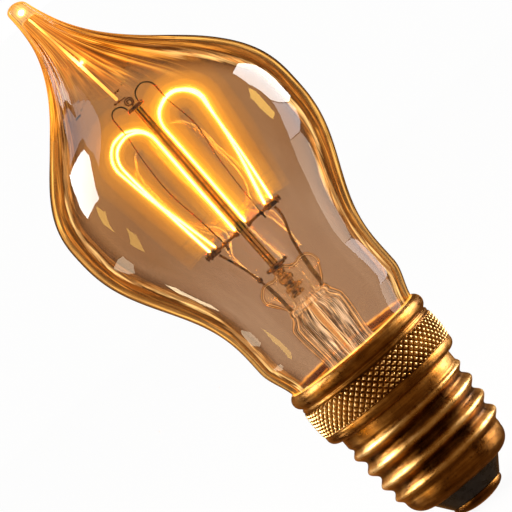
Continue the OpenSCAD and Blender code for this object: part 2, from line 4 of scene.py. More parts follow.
import bpy
import numpy as np
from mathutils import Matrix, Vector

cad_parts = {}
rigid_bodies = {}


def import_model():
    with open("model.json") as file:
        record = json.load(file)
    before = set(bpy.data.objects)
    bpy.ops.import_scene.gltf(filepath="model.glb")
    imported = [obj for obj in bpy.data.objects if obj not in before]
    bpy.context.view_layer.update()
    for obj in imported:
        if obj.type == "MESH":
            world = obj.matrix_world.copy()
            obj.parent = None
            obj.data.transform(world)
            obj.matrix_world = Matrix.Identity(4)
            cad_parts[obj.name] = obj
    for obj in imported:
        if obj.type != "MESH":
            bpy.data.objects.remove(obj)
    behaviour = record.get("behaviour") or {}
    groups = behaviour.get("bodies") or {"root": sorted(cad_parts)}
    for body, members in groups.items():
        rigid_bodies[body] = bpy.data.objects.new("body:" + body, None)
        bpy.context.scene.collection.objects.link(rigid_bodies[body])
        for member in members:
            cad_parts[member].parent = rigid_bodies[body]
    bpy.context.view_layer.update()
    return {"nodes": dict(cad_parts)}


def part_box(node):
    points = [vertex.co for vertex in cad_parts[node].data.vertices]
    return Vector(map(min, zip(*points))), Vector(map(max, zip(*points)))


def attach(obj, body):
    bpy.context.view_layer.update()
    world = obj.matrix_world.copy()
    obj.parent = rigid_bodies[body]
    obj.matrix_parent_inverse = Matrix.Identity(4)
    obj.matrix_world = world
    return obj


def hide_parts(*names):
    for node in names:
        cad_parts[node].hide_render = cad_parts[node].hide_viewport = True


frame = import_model()

MM = 0.001
TAU = 2 * math.pi


# ---------------------------------------------------------------- places from the frame, in mm

def box_mm(name):
    """Lowest and highest corner of a CAD node, in millimetres."""
    lo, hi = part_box(name)
    return np.array(lo) / MM, np.array(hi) / MM


def middle(name):
    """Middle of a CAD node's box: half the sum of its two corners."""
    return sum(box_mm(name)) / 2


COLLAR_LOW, MOUTH_Z = box_mm("collar")[0][2], box_mm("collar")[1][2]
BEAD_R = box_mm("collar")[1][0]
SEAL_Z, TIP_Z = box_mm("envelope")[0][2], box_mm("envelope")[1][2]
SHELL_LOW, SHELL_TOP = box_mm("screw_shell")[0][2], box_mm("screw_shell")[1][2]

# the blown glass
SEAT_R = 14.0
SEAT_H = 8.0
NECK_R = 16.05
BULGE_R = 25.8
BULGE_RISE = 44.5
BULGE_Z = MOUTH_Z + BULGE_RISE
TIP_R = 1.5
TIP_RISE = TIP_Z - BULGE_Z
CROWN_REACH, CROWN_POWER = 0.565 * TIP_RISE, 2.45
BULGE_LEAN, TIP_LEAN = -2.25, -0.18
WALL = 0.9
RIDGES_FROM, FAN_FROM, FINE_FROM, DRAWN_FROM = TIP_Z - 27.6, TIP_Z - 26.6, TIP_Z - 24.1, TIP_Z - 22.1
THREAD_FLARE_Z = TIP_Z - 15.6


# ---------------------------------------------------------------- surfaces from arrays

def smooth(t):
    """A smooth step: 0 before 0, 1 after 1, and 3t^2 - 2t^3 between."""
    t = np.clip(t, 0, 1)
    return t * t * (3 - 2 * t)


def smoother(t):
    """A smoother step: 6t^5 - 15t^4 + 10t^3 between 0 and 1."""
    t = np.clip(t, 0, 1)
    return t ** 3 * (t * (6 * t - 15) + 10)


def bump_at(t, centre, width):
    """A bell: exp of minus the square of the distance from the centre over the width."""
    return np.exp(-(((t - centre) / width) ** 2))


def grid_quads(rows, cols, close_rows=False):
    """Quads of a grid whose columns wrap round; its rows wrap too if close_rows is set."""
    i = np.arange(rows if close_rows else rows - 1)[:, None]
    j = np.arange(cols)[None, :]
    up, side = (i + 1) % rows, (j + 1) % cols
    return np.stack([i * cols + j, i * cols + side, up * cols + side, up * cols + j], -1).reshape(-1, 4)


def make_piece(name, points, quads, material, slot, nodes, fans=(), attributes=None, flat=False):
    """A mesh piece from points in mm, quads, and fans, the rings of corners that one face each closes.
    Without a slot it is left for the stage."""
    faces = quads.tolist() + [list(f) for f in fans]
    mesh = bpy.data.meshes.new(name)
    mesh.from_pydata((np.asarray(points) * MM).tolist(), [], faces)
    mesh.validate()
    for key, values in (attributes or {}).items():
        kind = "FLOAT_VECTOR" if values.ndim == 2 else "FLOAT"
        layer = mesh.attributes.new(key, kind, "POINT")
        layer.data.foreach_set("vector" if values.ndim == 2 else "value", values.astype(np.float32).ravel())
    mesh.polygons.foreach_set("use_smooth", [not flat] * len(mesh.polygons))
    mesh.materials.append(material)
    piece = bpy.data.objects.new(name, mesh)
    bpy.context.scene.collection.objects.link(piece)
    if slot:
        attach(piece, "root")
        if nodes:
            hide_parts(*nodes)
    return piece


def rings(centres, radii, heights, sides):
    """Round rings: row i is a circle of radii[i] about (centres[i], 0) at heights[i]."""
    angle = np.arange(sides) * TAU / sides
    x = np.asarray(centres)[:, None] + np.asarray(radii)[:, None] * np.cos(angle)
    y = np.asarray(radii)[:, None] * np.sin(angle)
    z = np.repeat(np.asarray(heights)[:, None], sides, 1)
    return np.stack([x, y, z], -1).reshape(-1, 3)


POLE_R = 0.004


def lathe_piece(name, profile, sides, material, slot, nodes, x0=0.0, attributes=None):
    """A closed profile of (radius, height) points turned about the vertical line through x0. At that
    line it stops a hair short, so that no ring is a point."""
    r, z = np.asarray(profile, float).T
    points = rings(np.full(len(r), x0), np.maximum(r, POLE_R), z, sides)
    return make_piece(name, points, grid_quads(len(r), sides, True), material, slot, nodes,
                      attributes=attributes)


def arc(cx, cz, r, start, end, count):
    """Points on an arc: (cx, cz) plus r times the cosine and sine of degrees from start to end."""
    a = np.radians(np.linspace(start, end, count))
    return np.stack([cx + r * np.cos(a), cz + r * np.sin(a)], 1)


def curve_through(points, per_span):
    """A Catmull-Rom curve: between two points runs the cubic whose slope at each of them is half the
    step from the point before it to the point after it."""
    p = np.array(points, float)
    p = np.vstack([2 * p[0] - p[1], p, 2 * p[-1] - p[-2]])
    t = np.linspace(0, 1, per_span, endpoint=False)[None, :, None]
    a, b, c, d = (p[k:len(p) - 3 + k][:, None] for k in range(4))
    body = 0.5 * (2 * b + (c - a) * t + (2 * a - 5 * b + 4 * c - d) * t ** 2
                  + (3 * b - a - 3 * c + d) * t ** 3)
    return np.vstack([body.reshape(-1, 3), p[-2]])


def tube(path, radius, sides):
    """A round tube along a path that stays near an XZ plane. The ring at each place is square to the
    path, with one axis along the cross product of Y and the path. At each end four rings shrink in
    a quarter circle, and one face closes the last of them."""
    path = np.asarray(path, float)
    radius = np.broadcast_to(np.asarray(radius, float), (len(path),))
    head, tail = path[0] - path[1], path[-1] - path[-2]
    head, tail = head / np.linalg.norm(head), tail / np.linalg.norm(tail)
    turn = np.radians([8, 30, 55, 80])
    back = turn[::-1]
    start = path[0] + head * (radius[0] * (np.sin(back) - 1))[:, None]
    end = path[-1] + tail * (radius[-1] * (np.sin(turn) - 1))[:, None]
    path = np.vstack([start, path[1:-1], end])
    radius = np.concatenate([radius[0] * np.cos(back), radius[1:-1], radius[-1] * np.cos(turn)])
    along = np.gradient(path, axis=0)
    along /= np.linalg.norm(along, axis=1, keepdims=True)
    u = np.cross(np.array([0.0, 1.0, 0.0]), along)
    u /= np.linalg.norm(u, axis=1, keepdims=True)
    v = np.cross(along, u)
    angle = np.arange(sides) * TAU / sides
    points = (path[:, None] + radius[:, None, None]
              * (np.cos(angle)[None, :, None] * u[:, None] + np.sin(angle)[None, :, None] * v[:, None]))
    return points.reshape(-1, 3), grid_quads(len(path), sides), end_fans(len(path), sides)


def end_fans(rows, sides):
    """The first ring of a grid, turned round to face outwards, and the last one, as two faces."""
    return [list(range(sides))[::-1], list(range((rows - 1) * sides, rows * sides))]


def skin_of_field(field, low, high, step):
    """The zero surface of a field of space, negative inside: one corner for each cell that the
    surface crosses, at the mean of its crossings, joined round each crossed edge, then moved onto
    the surface along the field's slope."""
    axes = [np.arange(a, b + step, step) for a, b in zip(low, high)]
    X, Y, Z = np.meshgrid(*axes, indexing="ij")
    f = field(X, Y, Z)
    shape = np.array(f.shape)
    cells = shape - 1
    total = np.zeros(tuple(cells) + (3,))
    count = np.zeros(tuple(cells))
    corner = np.stack([X, Y, Z], -1)
    crossings = []
    for axis in range(3):
        first = [slice(None)] * 3
        second = [slice(None)] * 3
        first[axis], second[axis] = slice(0, -1), slice(1, None)
        a, b = f[tuple(first)], f[tuple(second)]
        cross = (a < 0) != (b < 0)
        crossings.append((axis, cross, a < 0))
        i, j, k = np.nonzero(cross)
        t = (a[cross] / (a[cross] - b[cross]))[:, None]
        p = corner[tuple(first)][cross] * (1 - t) + corner[tuple(second)][cross] * t
        others = [o for o in range(3) if o != axis]
        for da in (0, -1):
            for db in (0, -1):
                idx = np.stack([i, j, k], 1)
                idx[:, others[0]] += da
                idx[:, others[1]] += db
                ok = ((idx >= 0) & (idx < cells)).all(1)
                np.add.at(total, tuple(idx[ok].T), p[ok])
                np.add.at(count, tuple(idx[ok].T), 1)
    live = count > 0
    number = np.full(tuple(cells), -1)
    number[live] = np.arange(live.sum())
    points = total[live] / count[live][:, None]
    quads = []
    for axis, cross, low_inside in crossings:
        i, j, k = np.nonzero(cross)
        idx = np.stack([i, j, k], 1)
        b, c = [(axis + 1) % 3, (axis + 2) % 3]
        loop = []
        for db, dc in ((-1, -1), (0, -1), (0, 0), (-1, 0)):
            m = idx.copy()
            m[:, b] += db
            m[:, c] += dc
            loop.append(number[tuple(m.T)])
        q = np.stack(loop, 1)
        flip = ~low_inside[cross]
        q[flip] = q[flip][:, ::-1]
        quads.append(q)
    h = 0.02
    for _ in range(4):
        p = points.T
        value = field(*p)
        slope = np.stack([field(*(p + h * e[:, None])) - field(*(p - h * e[:, None])) for e in np.eye(3)], 1)
        slope /= 2 * h
        move = value[:, None] * slope / np.maximum((slope ** 2).sum(1), 0.2)[:, None]
        points = points - np.clip(move, -step / 2, step / 2)
    return points, np.vstack(quads)


# ---------------------------------------------------------------- finishes

NO_LIGHT = (0.0, 0.0, 0.0)


def node(tree, kind, sockets=None, **settings):
    """A shader node with its settings made and its sockets filled: by a link where another node's
    output is given, else by the value, and a colour of three numbers gets an alpha of one."""
    made = tree.nodes.new("ShaderNode" + kind)
    for key, value in settings.items():
        setattr(made, key, value)
    for key, value in (sockets or {}).items():
        socket = made.inputs[key]
        if isinstance(value, bpy.types.NodeSocket):
            tree.links.new(value, socket)
        else:
            socket.default_value = (*value, 1) if socket.type == "RGBA" else value
    return made


def empty_tree(owner, output):
    """The node tree of a material or a world with nothing in it but its output node."""
    owner.use_nodes = True
    owner.node_tree.nodes.clear()
    return owner.node_tree, node(owner.node_tree, output)


def new_material(name):
    """A material, its empty node tree and its output node."""
    material = bpy.data.materials.new(name)
    return material, *empty_tree(material, "OutputMaterial")


def show(tree, out, shader, socket="Surface"):
    """Joins a shader to the output node."""
    tree.links.new(shader.outputs[0], out.inputs[socket])


def principled(tree, out, sockets):
    """The principled shader with its sockets filled, joined to the output."""
    show(tree, out, node(tree, "BsdfPrincipled", sockets))


def ramp(tree, source, stops):
    """A colour ramp: a straight-line change of colour between (place, colour) stops."""
    made = node(tree, "ValToRGB", {"Fac": source})
    elements = made.color_ramp.elements
    while len(elements) < len(stops):
        elements.new(0.5)
    for element, (place, colour) in zip(elements, stops):
        element.position = place
        element.color = (*colour, 1)
    return made.outputs["Color"]


def level(tree, source, low, high, to_low=0.0, to_high=1.0):
    """A straight-line change of range, from low and high to to_low and to_high, held at both ends."""
    return node(tree, "MapRange", {"Value": source, "From Min": low, "From Max": high,
                                   "To Min": to_low, "To Max": to_high}).outputs["Result"]


def noise(tree, place, scale, detail=4.0, rough=0.5, warp=0.0):
    """Cloudy noise about 0.5, with as many cells to a unit of the place as the scale says."""
    return node(tree, "TexNoise", {"Vector": place, "Scale": scale, "Detail": detail,
                                   "Roughness": rough, "Distortion": warp}).outputs["Fac"]


def mix_colour(tree, factor, a, b, mode="MIX"):
    """Colour a plus the factor times (b - a), or with LIGHTEN the larger of a and b."""
    return node(tree, "Mix", {0: factor, 6: a, 7: b}, data_type="RGBA", blend_type=mode).outputs[2]


def maths(tree, operation, a, b):
    """One step of arithmetic on two sockets or numbers."""
    return node(tree, "Math", {0: a, 1: b}, operation=operation).outputs[0]


def times(tree, a, b):
    """a x b."""
    return maths(tree, "MULTIPLY", a, b)


def plus(tree, a, b):
    """a + b."""
    return maths(tree, "ADD", a, b)


def off_middle(tree, source, gain):
    """(source - 0.5) x gain: a noise that pushes both ways."""
    return times(tree, maths(tree, "SUBTRACT", source, 0.5), gain)


def attribute(tree, name, output="Fac"):
    """A value or a vector that the mesh carries at its corners."""
    return node(tree, "Attribute", attribute_name=name).outputs[output]


def object_place(tree):
    """The place on the piece, in its own coordinates."""
    return node(tree, "TexCoord").outputs["Object"]


def object_axes(tree):
    """X, Y and Z of the place on the piece, in metres."""
    return node(tree, "SeparateXYZ", {0: object_place(tree)}).outputs


def rim_share(tree):
    """0 where clear glass is seen square on, and 1 where it is seen edge on."""
    return node(tree, "LayerWeight", {"Blend": 0.5}).outputs["Facing"]


def raised(tree, height, strength, distance):
    """The normal of a surface that a height lifts by up to the distance."""
    return node(tree, "Bump", {"Strength": strength, "Distance": distance,
                               "Height": height}).outputs["Normal"]


def belly_tint(tree, flow, height):
    """Glass seen square on: tan that deepens over the belly, by a ramp on the height that a cloud
    shifts up and down, with paler patches in its lower part."""
    cloud = off_middle(tree, noise(tree, flow, 2.2, 4.0, 0.6), 0.03)
    upper = level(tree, plus(tree, height, cloud), (BULGE_Z - 19.84) * MM, (BULGE_Z + 12.16) * MM)
    tan = ramp(tree, upper, [(0.0, (0.625, 0.45, 0.32)), (0.25, (0.58, 0.4, 0.265)),
                             (0.4, (0.56, 0.37, 0.23)), (1.0, (0.64, 0.42, 0.24))])
    paler = level(tree, noise(tree, flow, 1.4, 2.0), 0.52, 0.68, 0.0, 0.6)
    lower = maths(tree, "SUBTRACT", 1.0, upper)
    return mix_colour(tree, times(tree, paler, lower), tan, (0.75, 0.58, 0.45))


def painted_edge_lines(tree, edge):
    """Painted gold highlight lines and dark brown shade lines along the outline: stops on how near the edge a
    place lies.
    """
    return ramp(tree, edge, [(0.40, (0.32, 0.14, 0.045)), (0.47, (0.12, 0.04, 0.008)),
                             (0.53, (0.75, 0.33, 0.07)), (0.57, (0.06, 0.019, 0.003)),
                             (0.65, (0.3, 0.1, 0.014)), (0.71, (0.04, 0.012, 0.002)),
                             (0.78, (0.6, 0.22, 0.028)), (0.85, (0.15, 0.05, 0.007)),
                             (0.93, (0.05, 0.016, 0.003)), (1.0, (0.03, 0.01, 0.002))])


def edge_light(tree, flow, edge):
    """Painted filament light: emission in three lines along the outline that stands in for the filament's
    reflections, full only in broken lengths.
    """
    lines = ramp(tree, edge, [(0.47, NO_LIGHT), (0.535, (1.0, 0.62, 0.22)), (0.57, (0.06, 0.02, 0.002)),
                              (0.62, (0.1, 0.035, 0.003)), (0.65, (0.7, 0.28, 0.04)),
                              (0.68, (0.05, 0.015, 0)), (0.74, (0.1, 0.035, 0.003)),
                              (0.78, (1.0, 0.5, 0.1)), (0.83, (0.16, 0.06, 0.005)),
                              (0.9, (0.04, 0.012, 0.0))])
    lengths = level(tree, noise(tree, flow, 4.0, 3.0, 0.6), 0.46, 0.58)
    return mix_colour(tree, lengths, mix_colour(tree, 0.82, lines, NO_LIGHT), lines)


def spun_threads_painted(tree, threads):
    """Threads of the drawn tip painted as lit and shaded: orange and gold painted light and brown painted
    shade, by stops on their noise.
    """
    return ramp(tree, threads, [(0.36, (0.09, 0.024, 0.003)), (0.44, (0.5, 0.17, 0.014)),
                                (0.49, (0.95, 0.5, 0.08)), (0.53, (0.13, 0.036, 0.004)),
                                (0.60, (0.7, 0.27, 0.025)), (0.66, (0.16, 0.05, 0.006))])


def spun_light(tree, threads):
    """Painted filament light: emission carried by two sets of the tip's threads."""
    return ramp(tree, threads, [(0.40, (0.02, 0.006, 0.0)), (0.455, (0.22, 0.07, 0.005)),
                                (0.49, (1.0, 0.5, 0.08)), (0.52, (0.12, 0.035, 0.003)),
                                (0.58, (0.04, 0.012, 0.0)), (0.605, (0.75, 0.32, 0.035)),
                                (0.635, NO_LIGHT)])


def mouth_light(tree, streak, height):
    """Two thin rings of painted gold highlight just below the mouth of the collar, weaker along the streaks.
    """
    around = level(tree, height, (MOUTH_Z - 3) * MM, (MOUTH_Z + 1) * MM)
    rings_of_light = ramp(tree, around, [(0.3, NO_LIGHT), (0.38, (0.6, 0.24, 0.02)), (0.44, NO_LIGHT),
                                         (0.67, (0.02, 0.006, 0)), (0.76, (1.0, 0.55, 0.1)),
                                         (0.86, (0.02, 0.006, 0)), (0.98, NO_LIGHT)])
    return mix_colour(tree, level(tree, streak, 0.3, 0.5, 0.5, 0.0), rings_of_light, NO_LIGHT)


def amber_glass(name, index):
    """Clear blown glass of a refractive index: tan square on, painted highlight and shade lines along its
    outline that streaks on the meridians break up, painted shade in the collar, and a fan of threads at the
    drawn tip painted as lit. Its emission is painted filament light: lines along the outline, the tip's
    threads, a warm glow towards the tip and gold rings below the mouth. The place of a line is the share of
    the rim plus streaks times 0.22."""
    material, tree, out = new_material(name)
    flow, fan = attribute(tree, "flow", "Vector"), attribute(tree, "fan", "Vector")
    drawn, rim, height = attribute(tree, "drawn"), rim_share(tree), object_axes(tree)["Z"]
    streak = noise(tree, flow, 7.0, 5.0, 0.6, 0.4)
    edge = plus(tree, rim, off_middle(tree, streak, 0.22))
    threads = noise(tree, fan, 2.9, 3.0, 0.5, 0.1)
    in_fan = times(tree, drawn, level(tree, rim, 0.10, 0.42, 0.45, 1.0))

    colour = mix_colour(tree, level(tree, rim, 0.34, 0.48), belly_tint(tree, flow, height),
                        painted_edge_lines(tree, edge))
    # painted shade: the glass darkens inside the collar
    collar_shade = level(tree, height, (MOUTH_Z + 0.4) * MM, (MOUTH_Z - 0.6) * MM, 0.0, 0.8)
    colour = mix_colour(tree, collar_shade, colour, (0.2, 0.07, 0.012))
    colour = mix_colour(tree, in_fan, colour, spun_threads_painted(tree, threads))

    glow = mix_colour(tree, in_fan, edge_light(tree, flow, edge), spun_light(tree, threads))
    # painted glow: a warm emission that grows towards the tip
    near_tip = level(tree, height, (TIP_Z - 14.6) * MM, (TIP_Z - 1.1) * MM, 0.0, 0.4)
    glow = mix_colour(tree, times(tree, near_tip, near_tip), glow, (1.0, 0.5, 0.09))
    glow = mix_colour(tree, 1.0, glow, mouth_light(tree, streak, height), "LIGHTEN")

    principled(tree, out, {"Transmission Weight": 1.0, "IOR": index, "Base Color": colour,
                           "Roughness": level(tree, drawn, 0.1, 0.8, 0.0, 0.15),
                           "Emission Color": glow, "Emission Strength": 1.2})
    return material


PRESS_CLEAR_FROM, PRESS_CLEAR_TO = MOUTH_Z + 11.8, MOUTH_Z + 13.0


def clear_glass(name, tint, deep):
    """Clear tube and pressed glass: painted gold highlight and brown shade lines follow each outline, and the
    drawn tube has streaks along it painted as cream highlights and dark shade lines, which end where the
    press starts. Its emission is painted light on those lines and faintly on the press. The place of a line
    is the share of the rim plus streaks times 0.2."""
    material, tree, out = new_material(name)
    rim = rim_share(tree)
    streak = noise(tree, attribute(tree, "fan", "Vector"), 5.0, 3.0, 0.6, 0.3)
    edge = plus(tree, rim, off_middle(tree, streak, 0.2))
    pressed = level(tree, object_axes(tree)["Z"], PRESS_CLEAR_FROM * MM, PRESS_CLEAR_TO * MM, 0.0, 0.9)

    # painted highlight and shade: cream and near-black lines along the tube's streaks
    streaks = ramp(tree, streak, [(0.36, deep), (0.42, tint), (0.46, (1.0, 0.88, 0.68)),
                                  (0.49, (0.02, 0.009, 0.004)), (0.51, (0.05, 0.022, 0.008)),
                                  (0.54, tint), (0.58, tint), (0.61, (0.06, 0.025, 0.008)),
                                  (0.65, tint)])
    body = mix_colour(tree, pressed, streaks, (1.0, 0.93, 0.8))
    # painted highlight and shade lines along each outline
    outline = ramp(tree, edge, [(0.22, tint), (0.34, (0.42, 0.2, 0.06)), (0.42, (1.0, 0.78, 0.45)),
                                (0.52, (0.12, 0.05, 0.015)), (0.63, (0.62, 0.36, 0.13)),
                                (0.76, (0.06, 0.022, 0.006))])
    colour = mix_colour(tree, level(tree, rim, 0.2, 0.32), body, outline)

    # painted light: emission on the outline lines, on the streaks, and faintly on the press
    lines = ramp(tree, edge, [(0.36, NO_LIGHT), (0.42, (1.0, 0.70, 0.34)), (0.46, NO_LIGHT),
                              (0.59, NO_LIGHT), (0.64, (1.0, 0.5, 0.12)), (0.7, NO_LIGHT)])
    caught = ramp(tree, streak, [(0.425, NO_LIGHT), (0.455, (1.0, 0.84, 0.6)), (0.475, NO_LIGHT),
                                 (0.535, NO_LIGHT), (0.56, (0.9, 0.8, 0.64)), (0.585, NO_LIGHT)])
    caught = mix_colour(tree, pressed, caught, (0.06, 0.035, 0.012))

    principled(tree, out, {"Transmission Weight": 1.0, "IOR": 1.5, "Roughness": 0.0,
                           "Base Color": colour, "Emission Strength": 0.85,
                           "Emission Color": mix_colour(tree, 1.0, lines, caught, "LIGHTEN")})
    return material


def glowing(name, colour, strength, attribute_name=None):
    """Hot wire, or a glass thread given painted light though it is no lamp: light of its own in fine ripples
    of hue, times the attribute where one is named.
    """
    material, tree, out = new_material(name)
    ripple = noise(tree, object_place(tree), 900.0, 2.0)
    redder = (colour[0], colour[1] * 0.9, colour[2] * 0.7)
    if attribute_name:
        strength = times(tree, attribute(tree, attribute_name), strength)
    principled(tree, out, {"Base Color": (0.9, 0.6, 0.3), "Roughness": 0.5, "Emission Strength": strength,
                           "Emission Color": mix_colour(tree, level(tree, ripple, 0.3, 0.7), colour, redder)})
    return material


def wire_metal(name, bright, dark, roughness, grain=700.0, grooved=False, lit=None):
    """Bare metal that heat has stained: two colours in fine clouds, rougher by up to a quarter where it is
    darker. On a grooved piece the hollows take the dark colour as painted shade, and a lit one has painted
    filament light, an emission on what is bright."""
    material, tree, out = new_material(name)
    cloud = noise(tree, object_place(tree), grain, 5.0, 0.6)
    stain_and_shade = level(tree, cloud, 0.38, 0.62)
    if grooved:
        # painted shade: the hollows of the flutes take the dark colour
        stain_and_shade = maths(tree, "MAXIMUM", attribute(tree, "groove"), times(tree, stain_and_shade, 0.5))
    sockets = {"Metallic": 1.0, "Base Color": mix_colour(tree, stain_and_shade, bright, dark),
               "Roughness": level(tree, cloud, 0.3, 0.7, roughness, roughness + 0.25),
               "Normal": raised(tree, cloud, 0.2, 0.05 * MM)}
    # painted filament light: emission where the metal is bright
    if lit:
        sockets["Emission Color"] = mix_colour(tree, level(tree, stain_and_shade, 0.05, 0.6), lit, NO_LIGHT)
        sockets["Emission Strength"] = 1.0
    principled(tree, out, sockets)
    return material


def aged_brass():
    """Old brass: gold on what stands proud, brown in the hollows that is partly lacquer and grime and partly
    painted shade, fine scratches round the cap, pits, and a duller skin in patches. The wear and shade is how
    proud a place stands plus two noises, less one, and the scratches are noise squeezed to a fourteenth in
    height."""
    material, tree, out = new_material("aged_brass")
    place = object_place(tree)
    patches = noise(tree, place, 170.0, 6.0, 0.65, 0.3)
    grains = noise(tree, place, 1100.0, 4.0, 0.7)
    turned = node(tree, "Mapping", {"Vector": place, "Scale": (1.0, 1.0, 14.0)}).outputs["Vector"]
    scratches = noise(tree, turned, 260.0, 4.0, 0.7)
    blotch = maths(tree, "SUBTRACT", plus(tree, patches, noise(tree, turned, 60.0, 5.0, 0.7)), 1.0)
    # wear and painted shade: the ramp below is dark in hollows and shaded places
    wear_and_shade = plus(tree, attribute(tree, "proud"), blotch)
    metal = ramp(tree, wear_and_shade, [(0.0, (0.05, 0.019, 0.004)), (0.28, (0.19, 0.08, 0.016)),
                              (0.5, (0.33, 0.155, 0.036)), (0.75, (0.62, 0.34, 0.095)),
                              (1.0, (0.95, 0.66, 0.3))])
    pits = level(tree, grains, 0.58, 0.72, 0.0, 0.75)
    height = plus(tree, times(tree, grains, 0.5), times(tree, scratches, 0.8))
    principled(tree, out, {"Metallic": 1.0, "Base Color": mix_colour(tree, pits, metal, (0.07, 0.03, 0.01)),
                           "Roughness": plus(tree, level(tree, patches, 0.3, 0.7, 0.19, 0.4),
                                             level(tree, grains, 0.4, 0.75, 0.0, 0.2)),
                           "Normal": raised(tree, height, 0.35, 0.12 * MM)})
    return material


def black_insulator():
    """Black fired glass: glossy, faintly brown, with dull rubbed clouds and fine pits."""
    material, tree, out = new_material("black_insulator")
    cloud = noise(tree, object_place(tree), 420.0, 5.0, 0.6)
    brown = level(tree, cloud, 0.35, 0.7)
    colour = mix_colour(tree, brown, (0.004, 0.0035, 0.004), (0.02, 0.016, 0.015))
    principled(tree, out, {"Base Color": colour,
                           "Roughness": level(tree, cloud, 0.3, 0.7, 0.2, 0.4),
                           "Normal": raised(tree, cloud, 0.25, 0.1 * MM)})
    return material


def chalky(name, light, dark):
    """Dull set cement: two colours in fine clouds that also lift it."""
    material, tree, out = new_material(name)
    cloud = noise(tree, object_place(tree), 500.0, 6.0, 0.65)
    principled(tree, out, {"Base Color": mix_colour(tree, level(tree, cloud, 0.35, 0.65), light, dark),
                           "Roughness": 0.85, "Normal": raised(tree, cloud, 0.5, 0.2 * MM)})
    return material


GLASS = amber_glass("amber_glass", 1.5)
DRAWN_GLASS = amber_glass("drawn_amber_glass", 1.18)
STEM_GLASS = clear_glass("stem_glass", (1.0, 0.97, 0.91), (0.8, 0.6, 0.38))
DARK_GLASS = clear_glass("exhaust_glass", (0.62, 0.42, 0.24), (0.3, 0.16, 0.07))
HOT_WIRE = glowing("glowing_filament", (1.0, 0.74, 0.22), 22.0)
# painted glow for the glass thread, which is no lamp
LIT_THREAD = glowing("lit_thread", (1.0, 0.62, 0.2), 9.0, "lit")
# Both rod finishes paint shade in the flutes; the upper one is darker and gives off painted filament light.
ROD_METAL = wire_metal("rod_metal", (0.8, 0.52, 0.17), (0.05, 0.022, 0.006), 0.18, grooved=True)
UPPER_ROD_PAINTED_LIGHT = wire_metal("upper_rod_painted_light", (0.03, 0.035, 0.018), (0.002, 0.0015, 0.001), 0.30, grooved=True,
                        lit=(0.75, 0.42, 0.012))
FOOT_METAL = wire_metal("rod_foot_metal", (0.9, 0.58, 0.2), (0.06, 0.03, 0.01), 0.15, 1500.0)
# support_wire is a darker copy of the support wire metal and pale_wire a paler one, for painted shade and
# painted light
DARK_WIRE = wire_metal("support_wire", (0.06, 0.052, 0.024), (0.01, 0.008, 0.004), 0.22)
BROWN_WIRE = wire_metal("brown_wire", (0.5, 0.25, 0.06), (0.014, 0.008, 0.003), 0.16)
COPPER = wire_metal("copper_wire", (0.3, 0.2, 0.07), (0.1, 0.055, 0.016), 0.25)
PALE_WIRE = wire_metal("pale_wire", (0.09, 0.1, 0.045), (0.04, 0.042, 0.02), 0.25)
BRASS = aged_brass()
BLACK = black_insulator()
CEMENT = chalky("cement", (0.85, 0.56, 0.2), (0.4, 0.23, 0.06))
SOLDER = wire_metal("solder", (0.62, 0.6, 0.56), (0.4, 0.38, 0.36), 0.3)


# ---------------------------------------------------------------- blown glass

def lean_x(z):
    """The bulge's slow lean to one side, a smooth step, and the drawn tip's lean, a soft ramp."""
    t = z - BULGE_Z - 17
    return BULGE_LEAN * smooth((z - MOUTH_Z - 2) / 50.5) + TIP_LEAN * (t + np.sqrt(t * t + 6)) / 2


def glass_r(z):
    """Radius at a height: a smooth step from seat to neck, a smoother step from neck to bulge, and
    above the bulge a bell curve that is drawn out to the tip."""
    waist = SEAT_H + 1
    seat = SEAT_R + (NECK_R - SEAT_R) * smooth((z - MOUTH_Z + 1) / SEAT_H)
    belly = NECK_R + (BULGE_R - NECK_R) * smoother((z - MOUTH_Z - waist) / (BULGE_RISE - waist))
    crown = TIP_R + (BULGE_R - TIP_R) * np.exp(-(np.maximum(z - BULGE_Z, 0) / CROWN_REACH) ** CROWN_POWER)
    return np.where(z < MOUTH_Z + SEAT_H, seat, np.where(z < BULGE_Z, belly, crown))


def envelope_swell(angle, height, inside):
    """How far the wall stands out at a place: long waves along the meridians, sums of sines of 9, 23
    and 41 times the angle, weaker outside, and on the drawn part ridges of 11 and 19 times the
    angle, with fine ones of 31 and 47 on the outside towards the two flanks."""
    ripple = (np.sin(angle * 9 + 1.3 * np.sin(height / 17)) + 0.6 * np.sin(angle * 23 + height / 9)
              + 0.4 * np.sin(angle * 41 - height / 13))
    fade = smooth((height - SEAL_Z - 2) / 4) * smooth((TIP_Z - 8 - height) / 12)
    waves = (np.where(inside, 0.008, -0.004) * ripple - 0.02 * ~inside) * fade
    ridges = (np.sin(angle * 19 + 0.8 * np.sin(height / 6))
              + 0.7 * np.sin(angle * 11 + 2 + height / 30)) * 0.5
    drawn_part = smooth((height - RIDGES_FROM) / 10) * smooth((TIP_Z - 3 - height) / 8)
    fine = np.sin(angle * 31 + 1.5 * np.sin(height / 4)) + 0.5 * np.sin(angle * 47 - height / 5)
    fine_part = smooth((height - FINE_FROM) / 4) * smooth((TIP_Z - 6 - height) / 6)
    flanks = ~inside * np.cos(angle) ** 4
    return waves + 0.12 * (ridges - 1) * drawn_part + 0.06 * (fine - 1.5) * fine_part * flanks


